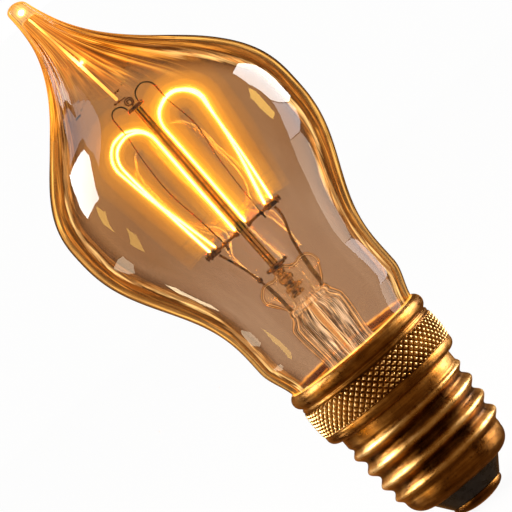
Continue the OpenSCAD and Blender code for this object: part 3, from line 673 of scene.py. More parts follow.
def blown_envelope():
    """Outer wall from the seat up to a round end, back down the inner wall, and across the rim. The
    inner wall sits a wall's thickness in, less near the tip. The faces above a wavy line round the
    drawn tip, a sine of 5 times the angle, have the drawn glass."""
    sides, rows = 240, 180
    rim_r = 11.6
    high, inner_high = TIP_Z - TIP_R, TIP_Z - 4
    z_out = np.linspace(SEAL_Z, high, rows)
    cap = np.radians(np.linspace(12, 84, 7))
    z_in = np.linspace(inner_high, SEAL_Z + 1.5, rows)
    r_in = glass_r(z_in) - np.minimum(WALL, glass_r(z_in) * 0.55)
    z = np.concatenate([z_out, high + TIP_R * np.sin(cap), [TIP_Z, inner_high + 0.5, inner_high + 0.35], z_in,
                        [SEAL_Z + 0.9, SEAL_Z + 0.2]])
    r = np.concatenate([glass_r(z_out), glass_r(high) * np.cos(cap), [0.01, 0.01, r_in[0] * 0.6], r_in,
                        [rim_r, rim_r]])
    points = rings(lean_x(z), r, z, sides)
    angle = np.tile(np.arange(sides) * TAU / sides, len(z))
    height = np.repeat(z, sides)
    inside = np.repeat(np.arange(len(z)) >= rows + len(cap) + 1, sides)

    centre = lean_x(height)
    radial = np.hypot(points[:, 0] - centre, points[:, 1])
    share = envelope_swell(angle, height, inside) / np.maximum(radial, 1.0)
    points[:, 0] += (points[:, 0] - centre) * share
    points[:, 1] += points[:, 1] * share

    flow = np.stack([np.cos(angle) * 2.2, np.sin(angle) * 2.2, height / 60], 1)
    fan = np.stack([np.cos(angle) * 1.6, np.sin(angle) * 1.6, height / 110], 1)
    drawn = smooth((height - FAN_FROM - 5 * np.sin(angle * 3 + 1)) / 16)
    quads = grid_quads(len(z), sides, True)
    piece = make_piece("envelope_glass", points, quads, GLASS, "amber_glass", ["envelope"],
                       attributes={"flow": flow, "fan": fan, "drawn": drawn})
    first = quads[:, 0]
    drawn_faces = height[first] > DRAWN_FROM + 1.5 * np.sin(angle[first] * 5)
    second_finish(piece, DRAWN_GLASS, drawn_faces)
    return piece


def second_finish(piece, material, faces):
    """Gives the faces marked true a second material."""
    piece.data.materials.append(material)
    piece.data.polygons.foreach_set("material_index", faces.astype(np.int32))


envelope = blown_envelope()
envelope.visible_shadow = False


def glass_thread():
    """The rod of glass from the finial to the tip, a slightly bowed line that thins upwards, with painted
    light along its length, though the glass is no lamp:
    a faint light, two bells at its flare, and a smooth step towards the tip."""
    lo, hi = box_mm("tip_thread")
    t = np.linspace(0, 1, 60)
    x = (1 - t) * (hi[0] - 0.34) + t * lean_x(TIP_Z - 3.7) + 0.5 * t * (1 - t)
    path = np.stack([x, 0 * t, lo[2] + (hi[2] - lo[2]) * t], 1)
    points, quads, fans = tube(path, 0.3 - 0.13 * t, 12)
    height = points[:, 2]
    lit = (0.22 + 1.6 * bump_at(height, THREAD_FLARE_Z, 2.2) + 0.3 * bump_at(height, THREAD_FLARE_Z, 6)
           + 1.6 * smooth((height - TIP_Z + 9.6) / 6))
    make_piece("tip_thread_glass", points, quads, LIT_THREAD, "stem_glass", ["tip_thread"], fans,
               {"lit": lit})


glass_thread()


# ---------------------------------------------------------------- stem

STEM_X = middle("stem_glass")[0]
PRESS_TOP = box_mm("ferrule")[0][2]
WAIST_Z = MOUTH_Z + 11.6
WAIST_R = 4.15
STEM_LOW = box_mm("stem_glass")[0][2]
FLARE_R = (box_mm("stem_glass")[1][0] - box_mm("stem_glass")[0][0]) / 2
STEM_WALL = 0.8


def along_the_tube(points, x0):
    """Places for streaks that run along a tube: the direction from its axis, and a little height."""
    x, y, z = np.asarray(points).T
    r = np.maximum(np.hypot(x - x0, y), 0.3)
    return np.stack([(x - x0) / r * 1.1, y / r * 1.1, z / 150], 1)


def stem_wall_line():
    """Half section of the tube's mid-wall: a quarter ellipse for the trumpet, then the tube that
    swells below its waist and closes over at the top."""
    a = np.radians(np.linspace(0, 90, 30))
    rise, trumpet_r = 4.0, 5.3
    trumpet = np.stack([FLARE_R - 0.4 - (FLARE_R - trumpet_r) * np.sin(a),
                        STEM_LOW + 0.4 + rise * (1 - np.cos(a))], 1)
    z = np.linspace(trumpet[-1, 1] + 0.2, WAIST_Z - 0.6, 50)
    swell = 4.9 + 0.75 * smooth((z - MOUTH_Z) / 8.0)
    pinch = (swell - WAIST_R) * smooth((z - WAIST_Z + 3.2) / 2.9)
    tube_line = np.stack([swell - pinch, z], 1)
    a = np.radians(np.linspace(10, 90, 10))
    dome = np.stack([WAIST_R * np.cos(a) - 0.05, WAIST_Z - 0.6 + 0.5 * np.sin(a)], 1)
    return np.vstack([trumpet, tube_line, dome])


def distance_table(line, r_max, z_low, z_high, step):
    """Distance from each place of the half section to a line of points: the least gap to the nearest
    place on any of its pieces."""
    r = np.arange(0, r_max + step, step)
    z = np.arange(z_low, z_high + step, step)
    R, Z = np.meshgrid(r, z, indexing="ij")
    best = np.full(R.shape, 1e9)
    for (r0, z0), (r1, z1) in zip(line[:-1], line[1:]):
        dr, dz = r1 - r0, z1 - z0
        t = np.clip(((R - r0) * dr + (Z - z0) * dz) / (dr * dr + dz * dz + 1e-12), 0, 1)
        best = np.minimum(best, np.hypot(R - r0 - t * dr, Z - z0 - t * dz))
    return best, step, z_low


def blend(a, b, soft):
    """Union of two solids with a soft fillet: the smaller distance, less a quarter of the fillet's
    width times the square of how far the two distances come within it."""
    h = np.maximum(soft - np.abs(a - b), 0) / soft
    return np.minimum(a, b) - h * h * soft / 4


def pear(x, y, z, foot, head, r_foot, r_head):
    """Distance to a bar with round ends: the gap to the nearest place on its axis, less a radius that
    grows from foot to head with the 0.8th power of the way along."""
    foot, head = np.array(foot, float), np.array(head, float)
    d = head - foot
    t = np.clip(((x - foot[0]) * d[0] + (y - foot[1]) * d[1] + (z - foot[2]) * d[2]) / (d @ d), 0, 1)
    gap = np.sqrt((x - foot[0] - t * d[0]) ** 2 + (y - foot[1] - t * d[1]) ** 2
                  + (z - foot[2] - t * d[2]) ** 2)
    return gap - (r_foot + (r_head - r_foot) * t ** 0.8)


def stem_and_press():
    """The stem: a trumpet and tube, and on its waist the press, pinched into a thick middle and two
    pear-shaped lobes that melt into each other. It is the zero surface of a field: the distance to
    the tube's mid-wall less half a wall, softly joined to the bars and the ring of the press."""
    table, step, z0 = distance_table(stem_wall_line(), 15.0, STEM_LOW - 1.5, PRESS_TOP + 3, 0.08)

    def tube_wall(x, y, z):
        """Distance looked up in the table, in straight lines between its four nearest entries."""
        i = np.clip(np.hypot(x, y) / step, 0, table.shape[0] - 1.001)
        j = np.clip((z - z0) / step, 0, table.shape[1] - 1.001)
        i0, j0 = i.astype(int), j.astype(int)
        u, v = i - i0, j - j0
        return ((table[i0, j0] * (1 - u) + table[i0 + 1, j0] * u) * (1 - v)
                + (table[i0, j0 + 1] * (1 - u) + table[i0 + 1, j0 + 1] * u) * v) - STEM_WALL / 2

    def field(X, y, z):
        """The whole stem, negative inside the glass."""
        x = X - STEM_X
        core = pear(x, y * 1.08, z, (0, 0, WAIST_Z + 1.2), (0, 0, PRESS_TOP - 3.3), 2.5, 3.0)
        neck = pear(x, y, z, (0, 0, PRESS_TOP - 3), (0, 0, PRESS_TOP - 1.7), 2.0, 1.65)
        press = blend(core, neck, 0.8)
        for side in (-1, 1):
            lobe = pear(x, y, z, (side * 3.0, 0, WAIST_Z + 0.6), (side * 4.0, 0, PRESS_TOP - 3.35), 0.9, 2.6)
            press = blend(press, lobe, 0.7)
        ring = np.hypot(np.hypot(x, y) - WAIST_R + 0.2, z - WAIST_Z) - 0.5
        return blend(tube_wall(x, y, z), blend(press, ring, 0.6), 0.8)

    room = 0.8
    low = (STEM_X - FLARE_R - room, -FLARE_R - room, STEM_LOW - room)
    high = (STEM_X + FLARE_R + room, FLARE_R + room, PRESS_TOP + 1.2)
    points, quads = skin_of_field(field, low, high, 0.3)
    return make_piece("stem_and_press", points, quads, STEM_GLASS, "stem_glass", ["stem_glass"],
                      attributes={"fan": along_the_tube(points, STEM_X)})


stem = stem_and_press()
stem.visible_shadow = False


# ---------------------------------------------------------------- rod, filament and wires

ROD_X, ROD_FOOT_Z = -1.15, PRESS_TOP + 0.32
ROD_TOP_Z = box_mm("centre_rod")[1][2]
LEAN = math.radians(0.8)
FLUTES = 7
DARK_FINISH_FROM = 8.9             # height on the rod above which it has a darker finish with painted filament light


def on_rod(points):
    """From the rod's own frame, foot at the origin, to the lamp's frame: a turn by the lean about Y,
    then a shift."""
    p = np.asarray(points, float)
    c, s = math.cos(LEAN), math.sin(LEAN)
    return np.stack([ROD_X + p[..., 0] * c - p[..., 2] * s, p[..., 1],
                     ROD_FOOT_Z + p[..., 0] * s + p[..., 2] * c], -1)


def fluted_rod():
    """A round rod with shallow flutes along it, thinner towards the top: the radius falls in a
    straight line, less a raised cosine of the flutes times the angle."""
    rows, sides = 60, 96
    t = np.linspace(0, 1, rows)[:, None]
    angle = (np.arange(sides) * TAU / sides)[None, :]
    groove = np.broadcast_to((0.5 + 0.5 * np.cos(FLUTES * angle + 0.35)) ** 1.5, (rows, sides))
    r = 0.93 - 0.21 * t - 0.12 * groove
    z = np.broadcast_to(t * (ROD_TOP_Z - ROD_FOOT_Z), r.shape)
    p = np.stack([r * np.cos(angle), r * np.sin(angle), z], -1).reshape(-1, 3)
    quads = grid_quads(rows, sides)
    rod = make_piece("fluted_rod", on_rod(p), quads, ROD_METAL, "rod_metal", ["centre_rod"],
                     end_fans(rows, sides), {"groove": groove.ravel()})
    second_finish(rod, UPPER_ROD_PAINTED_LIGHT, np.append(p[quads[:, 0], 2] > DARK_FINISH_FROM, [False, True]))


fluted_rod()


def ribbed_foot():
    """The rod's end inside the press: a turned foot with ribs that the glass grips, a smooth curve
    through the corners of its ribs turned about the rod's line."""
    ribs = [(0.0, -6.2), (0.7, -6.2), (1.0, -5.9), (1.0, -5.5), (0.7, -5.3), (0.7, -5.0), (1.4, -4.8),
            (1.4, -4.1), (0.75, -3.8), (0.75, -3.2), (1.15, -3.0), (1.15, -2.4), (0.75, -2.1),
            (0.75, -1.0), (1.3, -0.8), (1.3, 0.0), (0.85, 0.02), (0.85, 0.6), (0.0, 0.6)]
    line = curve_through([(r, 0, PRESS_TOP + z) for r, z in ribs], 3)
    lathe_piece("ribbed_rod_foot", line[:, [0, 2]], 40, FOOT_METAL, "rod_metal", ["centre_rod"], ROD_X)


ribbed_foot()

INNER_LEG_X = 1.22
LOOP_W = 9.2
LOOP_TOP = 36.2
FOOT_Z = 10.0
STRAND_GAP = 1.1
FEET_X = (6.0, 7.4)
NARROW_BY = {"left": 1.1, "right": 0.3}
STRAND_R = 0.21


def hairpin(width, top, foot):
    """A hairpin: a straight inner leg, a half-round top, and an outer leg that leaves the round at a
    tangent and bows by half a sine wave on its way to its foot."""
    r = width / 2
    centre = np.array([INNER_LEG_X + r, top - r])
    d = np.array([foot, FOOT_Z]) - centre
    end = math.atan2(d[1], d[0]) + math.acos(r / np.hypot(*d))
    leg = np.stack([np.full(26, INNER_LEG_X), np.linspace(FOOT_Z, centre[1], 26)], 1)
    a = np.linspace(math.pi, end, 60)[1:]
    top_arc = centre + r * np.stack([np.cos(a), np.sin(a)], 1)
    s = np.linspace(0, 1, 40)[1:, None]
    down = top_arc[-1] * (1 - s) + np.array([foot, FOOT_Z]) * s
    down[:, 0] += 0.12 * np.sin(s[:, 0] * math.pi)
    return np.vstack([leg, top_arc, down])


def strand_path(side, inward, back):
    """The path of a strand of the left or right loop in the lamp's frame. Inward is 0 for the wide
    strand and 1 for the narrow one, whose hairpin is smaller and whose foot is farther out; back is
    how far it stands behind the rod's middle plane."""
    less = NARROW_BY[side] * inward
    flat = hairpin(LOOP_W - less, LOOP_TOP - 0.7 * less, FEET_X[0] + (FEET_X[1] - FEET_X[0]) * inward)
    mirror = -1 if side == "left" else 1
    return on_rod(np.stack([mirror * flat[:, 0], np.full(len(flat), back), flat[:, 1]], 1))


STRANDS = [(side, size, inward, (0.5 - inward) * STRAND_GAP)
           for side in ("left", "right") for inward, size in enumerate(("wide", "narrow"))]


def filament_strands():
    """The hot strands: round tubes along their hairpins, two to a loop, one before the other."""
    for side, size, inward, back in STRANDS:
        points, quads, fans = tube(strand_path(side, inward, back), STRAND_R, 12)
        make_piece(f"hot_strand_{side}_{size}", points, quads, HOT_WIRE, "glowing_filament",
                   [f"filament_{side}_{size}"], fans)


filament_strands()


# ---------------------------------------------------------------- cap

PITCH = 3.63
THREAD_LOW = SHELL_LOW + 3.3
THREAD_H = 14.8
THREAD_DEPTH = 1.2
CREST_RISE = 14.1
CREST_R = 13.3
CREST_TAPER = 1.6
LAND_R = CREST_R - 0.6
LOW_ROOT_R = CREST_R - CREST_TAPER / 2 - THREAD_DEPTH
SHELL_WALL = 0.4


def turned_points(R, Z):
    """Corners of a grid of radii and heights whose columns go round the lamp's axis."""
    angle = np.broadcast_to(np.arange(R.shape[1]) * TAU / R.shape[1], R.shape)
    return np.stack([R * np.cos(angle), R * np.sin(angle), Z], -1).reshape(-1, 3)


def thread_r(z, angle):
    """Radius of the rolled thread: a helix of rounded waves on a slowly widening sleeve, fading in at
    the bottom and out at the top. The wave is the cosine of the height over the pitch less the
    angle."""
    t = (z - THREAD_LOW) / THREAD_H
    fade = smooth(t * THREAD_H / 2.4) * smooth((1 - t) * THREAD_H / 1.3)
    crest = CREST_R - CREST_TAPER / 2 * (1 - np.clip(t, 0, 1))
    plain = LOW_ROOT_R + (LAND_R - LOW_ROOT_R) * smooth((t - 0.02) * 2.2)
    wave = np.cos(TAU * (z - THREAD_LOW - CREST_RISE) / PITCH - angle)
    return plain + fade * (crest - THREAD_DEPTH / 2 + THREAD_DEPTH / 2 * wave - plain), fade * wave


def threaded_shell():
    """The brass shell: the round shoulder, a quarter ellipse, then the thread and the plain land, all
    a sheet's thickness deep."""
    sides, rows = 220, 170
    hole_r, rise = 7.8, 3.3
    turn = np.radians(np.linspace(90, 0, 16))
    angle = np.arange(sides) * TAU / sides

    def shoulder(inset):
        """Radii and heights of the shoulder's rings, an inset below its outside."""
        r = hole_r + (LOW_ROOT_R - hole_r - inset) * np.cos(turn)
        z = THREAD_LOW - (rise - inset) * np.sin(turn)
        return np.repeat(r[:, None], sides, 1), np.repeat(z[:, None], sides, 1)

    z = np.linspace(THREAD_LOW, THREAD_LOW + THREAD_H, rows)[1:, None] + 0 * angle
    r, wave = thread_r(z, angle[None, :])
    r_low, z_low = shoulder(0)
    r_in, z_in = shoulder(SHELL_WALL)
    top_r, top_z = np.full((1, sides), LAND_R), np.full((1, sides), SHELL_TOP)
    R = np.vstack([r_low, r, top_r, top_r - SHELL_WALL, (r - SHELL_WALL)[::-1], r_in[::-1]])
    Z = np.vstack([z_low, z, top_z, top_z, z[::-1], z_in[::-1]])
    # How proud each ring stands, for the brass's colour: the thread's wave outside, and one less on the inner
    # sheet, which paints shade inside the shell.
    crests_and_shade = np.vstack([0 * r_low - 0.3, wave, 0 * top_r, 0 * top_r - 1, (wave - 1)[::-1], 0 * r_in - 1])
    make_piece("threaded_shell", turned_points(R, Z), grid_quads(len(R), sides, True), BRASS, "aged_brass",
               ["screw_shell"], attributes={"proud": (0.5 + 0.42 * crests_and_shade).ravel()})


threaded_shell()

KNURL_LOW = COLLAR_LOW + 2.2
KNURL_H = 5.6
RING_H = 0.9
KNURL_R = 15.0
BEAD_H = 3.3
DIAMONDS_ROUND = 62
DIAMOND_ROWS = 4


def triangle_wave(v):
    """1 at whole numbers and 0 halfway between them, in straight lines."""
    return np.abs((v % 1.0) * 2 - 1)


def knurled_collar():
    """The turned collar: rounded foot, knurled band, thin ring, groove and round bead. The band's
    diamonds stand between two crossing sets of slanting grooves: the height at a place is the lower
    of two triangle waves, one running up to the left and one to the right."""
    sides = DIAMONDS_ROUND * 12
    ring_z = KNURL_LOW + KNURL_H
    bead_r = BEAD_H / 2
    bead_x, bead_z = BEAD_R - bead_r, ring_z + RING_H + bead_r
    mouth_r, foot_r = SEAT_R + 0.35, LAND_R + 0.05
    mouth_turn = math.degrees(math.acos((mouth_r - bead_x) / bead_r))
    step_z = SHELL_TOP + 0.2
    a = np.radians(np.linspace(8, 90, 12))
    foot = np.stack([foot_r + 0.5 + (KNURL_R - 0.8 - foot_r) * np.sin(a),
                     COLLAR_LOW + 1.43 * (1 - np.cos(a))], 1)
    below = np.vstack([[(foot_r, COLLAR_LOW), (foot_r + 0.5, COLLAR_LOW)], foot,
                       [(KNURL_R - 0.3, KNURL_LOW - 0.22), (KNURL_R - 0.42, KNURL_LOW - 0.1)]])
    t = np.linspace(0, 1, 60)[:, None]
    band = np.hstack([KNURL_R - 0.2 * (2 * t - 1) ** 2, KNURL_LOW + KNURL_H * t])
    above = np.vstack([[(KNURL_R - 0.75, ring_z + 0.05)],
                       arc(KNURL_R - 0.75, ring_z + RING_H / 2, 0.42, -70, 70, 8),
                       arc(bead_x, bead_z, bead_r, -58, 0, 12),
                       arc(bead_x, bead_z, bead_r, 6, mouth_turn, 16),
                       [(mouth_r, step_z), (foot_r, step_z)]])
    profile = np.vstack([below, band, above])
    R, Z = (np.repeat(column[:, None], sides, 1) for column in profile.T)

    around = DIAMONDS_ROUND * (np.arange(sides) * TAU / sides)[None, :] / TAU
    up = DIAMOND_ROWS * t
    lower = np.minimum(triangle_wave(around + up + 0.5), triangle_wave(around - up + 0.5))
    height = np.clip(lower * 1.5, 0, 1)
    edge = smooth(t / 0.04) * smooth((1 - t) / 0.04)
    knurled = slice(len(below), len(below) + len(band))
    R[knurled] += -0.52 * (1 - height) * edge - 0.12 * (1 - edge)
    # How proud each place stands, for the brass's colour: low in the knurl's grooves, for grime and painted
    # shade, high on the diamonds, and full at the lip of the mouth.
    proud = np.full(R.shape, 0.52)
    proud[knurled] = 0.16 + 1.1 * height * edge
    proud[-3:-1] = 1.0
    make_piece("knurled_collar", turned_points(R, Z), grid_quads(len(R), sides, True), BRASS, "aged_brass",
               ["collar"], attributes={"proud": proud.ravel()})


knurled_collar()


def contact_button():
    """The centre contact: a shallow brass dome with a short rim, hollow above. Each wall of the dome
    is a quarter ellipse."""
    _, hi = box_mm("centre_contact")
    r, top, rim, sheet, sides = hi[0], hi[2], 0.4, 0.5, 96
    turn = np.radians(np.linspace(0, 90, 28))

    def dome(inset):
        """Profile of the dome, an inset above its outside, from its pole to its rim."""
        return np.stack([(r - inset) * np.sin(turn), (top - rim) - (top - rim - inset) * np.cos(turn)], 1)

    profile = np.vstack([dome(0), [(r, top), (r - sheet, top)], dome(sheet)[::-1]])
    proud = np.repeat(0.3 + 0.5 * (profile[:, 1] < 0.6), sides)
    lathe_piece("contact_button", profile, sides, BRASS, "aged_brass", ["centre_contact"],
                attributes={"proud": proud})


contact_button()


# ---------------------------------------------------------------- CAD pieces that keep their shape

def refinish(material, *names):
    """Gives CAD nodes a finish and leaves their meshes alone."""
    for name in names:
        mesh = frame["nodes"][name].data
        mesh.materials.clear()
        mesh.materials.append(material)


def both_sides(*names):
    """The names of the left and the right piece of each pair."""
    return [f"{name}_{side}" for name in names for side in ("left", "right")]


# The hooks and the left guy get the darker wire as painted shade, and the right guy the paler wire as painted
# light.
refinish(DARK_WIRE, "guy_left", *both_sides("hook"))
refinish(BROWN_WIRE, "hub_clip", "hub_curl", "finial", "lead_bead", "ferrule",
         *both_sides("crossbar", "inner_clip", "mid_clip", "outer_clamp", "inner_lead"))
refinish(COPPER, "contact_lead", "shell_lead", *both_sides("seal_wire"))
refinish(PALE_WIRE, "guy_right")
refinish(BLACK, "insulator")
refinish(CEMENT, "basing_cement")
refinish(SOLDER, "shell_solder")
refinish(DARK_GLASS, "exhaust_tube")


# ---------------------------------------------------------------- glow of the hot strands

def stage_piece(name, shape, material, unseen_by=(), flat=False):
    """A piece for the view only, from points, quads and fans, left out of the rays that are named."""
    points, quads, fans = shape
    piece = make_piece(name, points, quads, material, None, None, fans, flat=flat)
    for ray in unseen_by:
        setattr(piece, "visible_" + ray, False)


def glowing_air(name, finish_name, shape, colour, strength, density):
    """A closed shape of air that shines a little, and that takes some blue and green out of what is
    behind it."""
    material, tree, out = new_material(finish_name)
    light = node(tree, "Emission", {"Color": colour, "Strength": strength})
    veil = node(tree, "VolumeAbsorption", {"Color": (1.0, 0.93, 0.5), "Density": density})
    show(tree, out, node(tree, "AddShader", {0: light.outputs[0], 1: veil.outputs[0]}), "Volume")
    stage_piece(name, shape, material, ("diffuse", "shadow", "glossy", "volume_scatter"))


def strand_glow():
    """Nested sleeves of faint light: one close round each strand, and wider ones round each loop,
    which stand farther back the wider they are."""
    for side, size, inward, back in STRANDS:
        name = f"glow_{side}_{size}"
        glowing_air(name, name, tube(strand_path(side, inward, back), 0.52, 20), (1.0, 0.92, 0.30), 1300.0,
                    100.0)
    for side, gain in (("left", 1.0), ("right", 1.5)):
        for reach, colour, strength, density in ((1.05, (1.0, 0.80, 0.12), 330.0, 80.0),
                                                 (1.9, (1.0, 0.60, 0.07), 110.0 * gain, 90.0),
                                                 (3.6, (1.0, 0.52, 0.05), 50.0 * gain, 90.0),
                                                 (5.6, (1.0, 0.48, 0.05), 25.0, 60.0)):
            path = strand_path(side, 0.5, max(0.0, 0.75 * (reach - 1.05)))
            name = f"glow_{side}_{int(reach * 100)}"
            glowing_air(name, name, tube(path, reach, 20), colour, strength, density)


def spark(height, sizes):
    """A spark on the axis of the drawn glass: balls of light inside each other, circles whose radius
    is the reach times the sine of the way from pole to pole."""
    rows, sides = 14, 20
    polar = np.linspace(0.02, math.pi - 0.02, rows)
    quads = grid_quads(rows, sides)[:, ::-1]
    fans = [ring[::-1] for ring in end_fans(rows, sides)]
    for reach, colour, strength in sizes:
        points = rings(np.full(rows, lean_x(height)), reach * np.sin(polar),
                       height + reach * np.cos(polar), sides)
        glowing_air(f"spark_{int(reach * 100)}_{int(height)}", f"spark_{reach}_{int(height)}",
                    (points, quads, fans), colour, strength, 0.0)


strand_glow()
spark(TIP_Z - 2.2, ((0.5, (1.0, 0.95, 0.85), 14000.0), (0.8, (1.0, 0.75, 0.3), 1800.0),
                    (1.3, (1.0, 0.6, 0.12), 260.0)))
spark(THREAD_FLARE_Z - 0.6, ((0.4, (1.0, 0.95, 0.8), 9000.0), (0.9, (1.0, 0.8, 0.3), 900.0),
                      (1.9, (1.0, 0.6, 0.12), 130.0)))


# ---------------------------------------------------------------- studio

ELEVATION = math.radians(4.0)
ROLL = math.radians(49.5)
CAMERA_DISTANCE = 1.5
VIEW_WIDTH = 93.0909 * MM
SENSOR_MM = 36.0
AIM = np.array([0.0, 0.0, 0.062])
SLIDE_RIGHT, SLIDE_UP = -2.741 * MM, -0.884 * MM


def put_in_scene(obj, *columns):
    """Puts an object into the scene with its axes X, Y and Z and its origin as given."""
    bpy.context.scene.collection.objects.link(obj)
    matrix = np.eye(4)
    matrix[:3] = np.stack(columns, 1)
    obj.matrix_world = matrix.T.tolist()


def place_camera():
    """A long lens, level with the bulb but for a few degrees, and rolled so that the bulb lies across
    the view from its tip at the top left to its cap at the bottom right. The lens is the sensor's
    width times the distance over the width of the view."""
    forward = np.array([0.0, math.cos(ELEVATION), -math.sin(ELEVATION)])
    right = np.array([1.0, 0.0, 0.0])
    up = np.cross(right, forward)
    data = bpy.data.cameras.new("camera")
    data.sensor_width = SENSOR_MM
    data.lens = SENSOR_MM * CAMERA_DISTANCE / VIEW_WIDTH
    data.clip_start, data.clip_end = 0.05, 20.0
    camera = bpy.data.objects.new("camera", data)
    put_in_scene(camera, math.sin(ROLL) * right - math.cos(ROLL) * up,
                 math.cos(ROLL) * right + math.sin(ROLL) * up, -forward,
                 AIM - CAMERA_DISTANCE * forward + SLIDE_RIGHT * right + SLIDE_UP * up)
    bpy.context.scene.camera = camera


place_camera()


def direction(azimuth, elevation):
    """Unit vector: azimuth 0 points at the camera and 90 to its right, in degrees."""
    a, e = math.radians(azimuth), math.radians(elevation)
    return np.array([math.sin(a) * math.cos(e), -math.cos(a) * math.cos(e), math.sin(e)])


LAMP_DISTANCE = 0.5


def lamp_panel(name, azimuth, elevation, width, height, radiance, colour):
    """A soft panel of light that faces the bulb. Its power follows from its size
    and how bright it looks: radiance x pi x area."""
    data = bpy.data.lights.new(name, "AREA")
    data.shape = "RECTANGLE"
    data.size, data.size_y = width, height
    data.energy = radiance * math.pi * width * height
    data.color = colour
    lamp = bpy.data.objects.new(name, data)
    out = direction(azimuth, elevation)
    side = np.cross([0, 0, 1.0], out)
    side /= np.linalg.norm(side)
    put_in_scene(lamp, side, np.cross(out, side), out, np.array([0, 0, 0.06]) + out * LAMP_DISTANCE)
    lamp.visible_camera = False
    lamp.visible_transmission = False
    return lamp


LAMPS = [
    lamp_panel("strip_left", -60, 22, 0.07, 0.22, 9.0, (1.0, 0.84, 0.6)),
    lamp_panel("fill_left", -66, -8, 0.12, 0.5, 1.7, (1.0, 0.8, 0.55)),
    lamp_panel("strip_right", 92, 20, 0.08, 0.24, 15.0, (1.0, 0.88, 0.68)),
    lamp_panel("fill_right", 96, -10, 0.13, 0.5, 3.6, (1.0, 0.82, 0.58)),
]

ONLY_MIRRORED = ("camera", "diffuse", "transmission", "shadow", "volume_scatter")
ROOM_MIDDLE, ROOM_R, CARD_R = 60.0, 900.0, 800.0


def bright_card(name, colour, strength, corners):
    """A shining card far out in the room, seen only as a reflection. Its corners are directions in
    degrees, each times its distance from the middle of the room."""
    material, tree, out = new_material(name)
    show(tree, out, node(tree, "Emission", {"Color": colour, "Strength": strength}))
    points = np.array([0, 0, ROOM_MIDDLE]) + CARD_R * np.array([direction(*corner) for corner in corners])
    shape = (points, np.zeros((0, 4), int), [list(range(len(corners)))])
    stage_piece(name, shape, material, ONLY_MIRRORED, flat=True)


GOLD = (1.0, 0.62, 0.12)
bright_card("card_window_left", (1.0, 0.99, 0.97), 16,
            [(-111, 53), (-102, 54), (-91, 46), (-81, 29), (-100, 16), (-113, 32), (-127, 37)])
bright_card("card_haze_left", (0.86, 0.86, 0.95), 2.0,
            [(-128, 39), (-112, 55), (-96, 57), (-84, 52), (-92, 70), (-140, 66)])
bright_card("card_window_right", (1.0, 0.99, 0.97), 11,
            [(103.5, 31), (120.5, 27), (125, 17), (123.5, -1), (115, -1.7), (98, 0.7), (96, 17)])
bright_card("card_sky_right", (0.94, 0.91, 0.92), 4.6,
            [(98, 0.5), (115, -2), (116.5, -4.5), (112.5, -11), (105, -15), (89, -17.5), (91.5, -7),
             (95.5, -2)])
bright_card("card_haze_right", (1.0, 0.87, 0.74), 3.1,
            [(88, -18), (105.5, -15.5), (112.5, -21.5), (117, -31), (110, -34), (96, -39), (89.5, -30)])
bright_card("card_gold_right", GOLD, 10, [(92, 16), (93, 10), (91.5, -1.5), (85, -2.7), (82.5, 0.7), (83, 9)])
bright_card("card_gold_left", GOLD, 7, [(-86, 24), (-78, 14), (-82.5, -3), (-86, 4.5)])
bright_card("card_gold_low_left", GOLD, 6, [(-71.5, -3.5), (-69, -7), (-78, -18.5), (-80, -9)])
bright_card("card_low_left", (1.0, 0.86, 0.62), 4,
            [(-103, -10), (-97, -11), (-98, -18), (-108, -21), (-114, -18), (-118, -11)])
bright_card("card_slit_low_left", (1.0, 0.8, 0.5), 10,
            [(-110, -33.5), (-117, -35), (-117, -38), (-110, -36.5)])


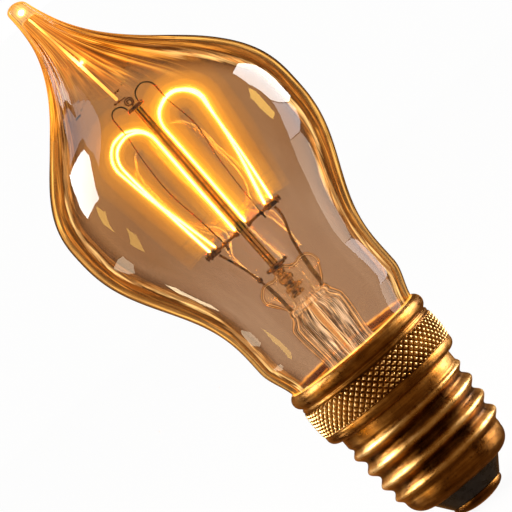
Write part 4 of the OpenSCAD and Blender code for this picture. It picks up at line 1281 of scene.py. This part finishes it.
def dark_surround():
    """A dark room about the bulb that only mirror-like surfaces see, so that brass and glass have
    something dark to show between the panels: a ball of brown clouds, and behind the bulb, by a
    ramp on Y, a band of red gold that is dimmer on the right."""
    material, tree, out = new_material("dark_surround")
    axes = object_axes(tree)
    clouds = ramp(tree, noise(tree, object_place(tree), 3.0, 2.0),
                  [(0.3, (0.06, 0.028, 0.009)), (0.7, (0.31, 0.17, 0.062))])
    rear = ramp(tree, level(tree, axes["Y"], 0.405, 0.9),
                [(0.0, (0.1, 0.045, 0.012)), (0.6, (0.22, 0.085, 0.02)), (0.78, (0.65, 0.25, 0.04)),
                 (0.87, (0.34, 0.11, 0.014)), (0.93, (0.07, 0.022, 0.005)), (1.0, (0.04, 0.014, 0.003))])
    colour = mix_colour(tree, level(tree, axes["Y"], 0.4, 0.6), clouds, rear)
    dimmer = times(tree, level(tree, axes["X"], -0.3, 0.3, 0.0, 0.6), level(tree, axes["Y"], 0.5, 0.8))
    show(tree, out, node(tree, "Emission", {"Color": mix_colour(tree, dimmer, colour, NO_LIGHT)}))
    rows, sides = 24, 48
    polar = np.linspace(0.01, math.pi - 0.01, rows)
    points = rings(np.zeros(rows), ROOM_R * np.sin(polar), ROOM_MIDDLE + ROOM_R * np.cos(polar), sides)
    stage_piece("dark_surround", (points, grid_quads(rows, sides), ()), material, ONLY_MIRRORED)


dark_surround()


def sight(tree):
    """1 for what the camera sees itself, mirrored or through glass, 0 for light that falls: the
    largest of the three."""
    path = node(tree, "LightPath").outputs
    return maths(tree, "MAXIMUM", path["Is Camera Ray"],
                 maths(tree, "MAXIMUM", path["Is Glossy Ray"], path["Is Transmission Ray"]))


def studio_world():
    """Soft, slightly warm light from all sides, and plain white to look at."""
    world = bpy.data.worlds.new("studio")
    bpy.context.scene.world = world
    tree, out = empty_tree(world, "OutputWorld")
    soft = node(tree, "Background", {"Color": (1, 0.98, 0.95), "Strength": 0.85})
    white = node(tree, "Background", {"Color": (1, 1, 1), "Strength": 1.0})
    show(tree, out, node(tree, "MixShader", {0: sight(tree), 1: soft.outputs[0], 2: white.outputs[0]}))


studio_world()


def studio_floor():
    """A wide pale floor under the contact: white to look at, and it keeps some of the shadow."""
    material, tree, out = new_material("studio_floor")
    pale = node(tree, "BsdfPrincipled", {"Base Color": (0.92, 0.92, 0.92), "Roughness": 0.9})
    white = node(tree, "Emission")
    whiteness = times(tree, sight(tree), 0.93)
    show(tree, out, node(tree, "MixShader", {0: whiteness, 1: pale.outputs[0], 2: white.outputs[0]}))
    size, low = 4000.0, -0.05
    points = np.array([[-size, -size, low], [size, -size, low], [size, size, low], [-size, size, low]])
    stage_piece("studio_floor", (points, np.array([[0, 1, 2, 3]]), ()), material, ["glossy"], flat=True)


studio_floor()


def keep_panels_off_glass():
    """The lamp panels light every piece but the envelope, whose reflections are the cards alone."""
    lit = bpy.data.collections.new("lit_by_panels")
    for obj in bpy.context.scene.objects:
        if obj.type == "MESH" and obj != envelope:
            lit.objects.link(obj)
    for lamp in LAMPS:
        lamp.light_linking.receiver_collection = lit


keep_panels_off_glass()

scene = bpy.context.scene
scene.view_settings.view_transform = "Standard"
scene.cycles.transparent_max_bounces = 48
scene.cycles.max_bounces = 24
scene.cycles.transmission_bounces = 20
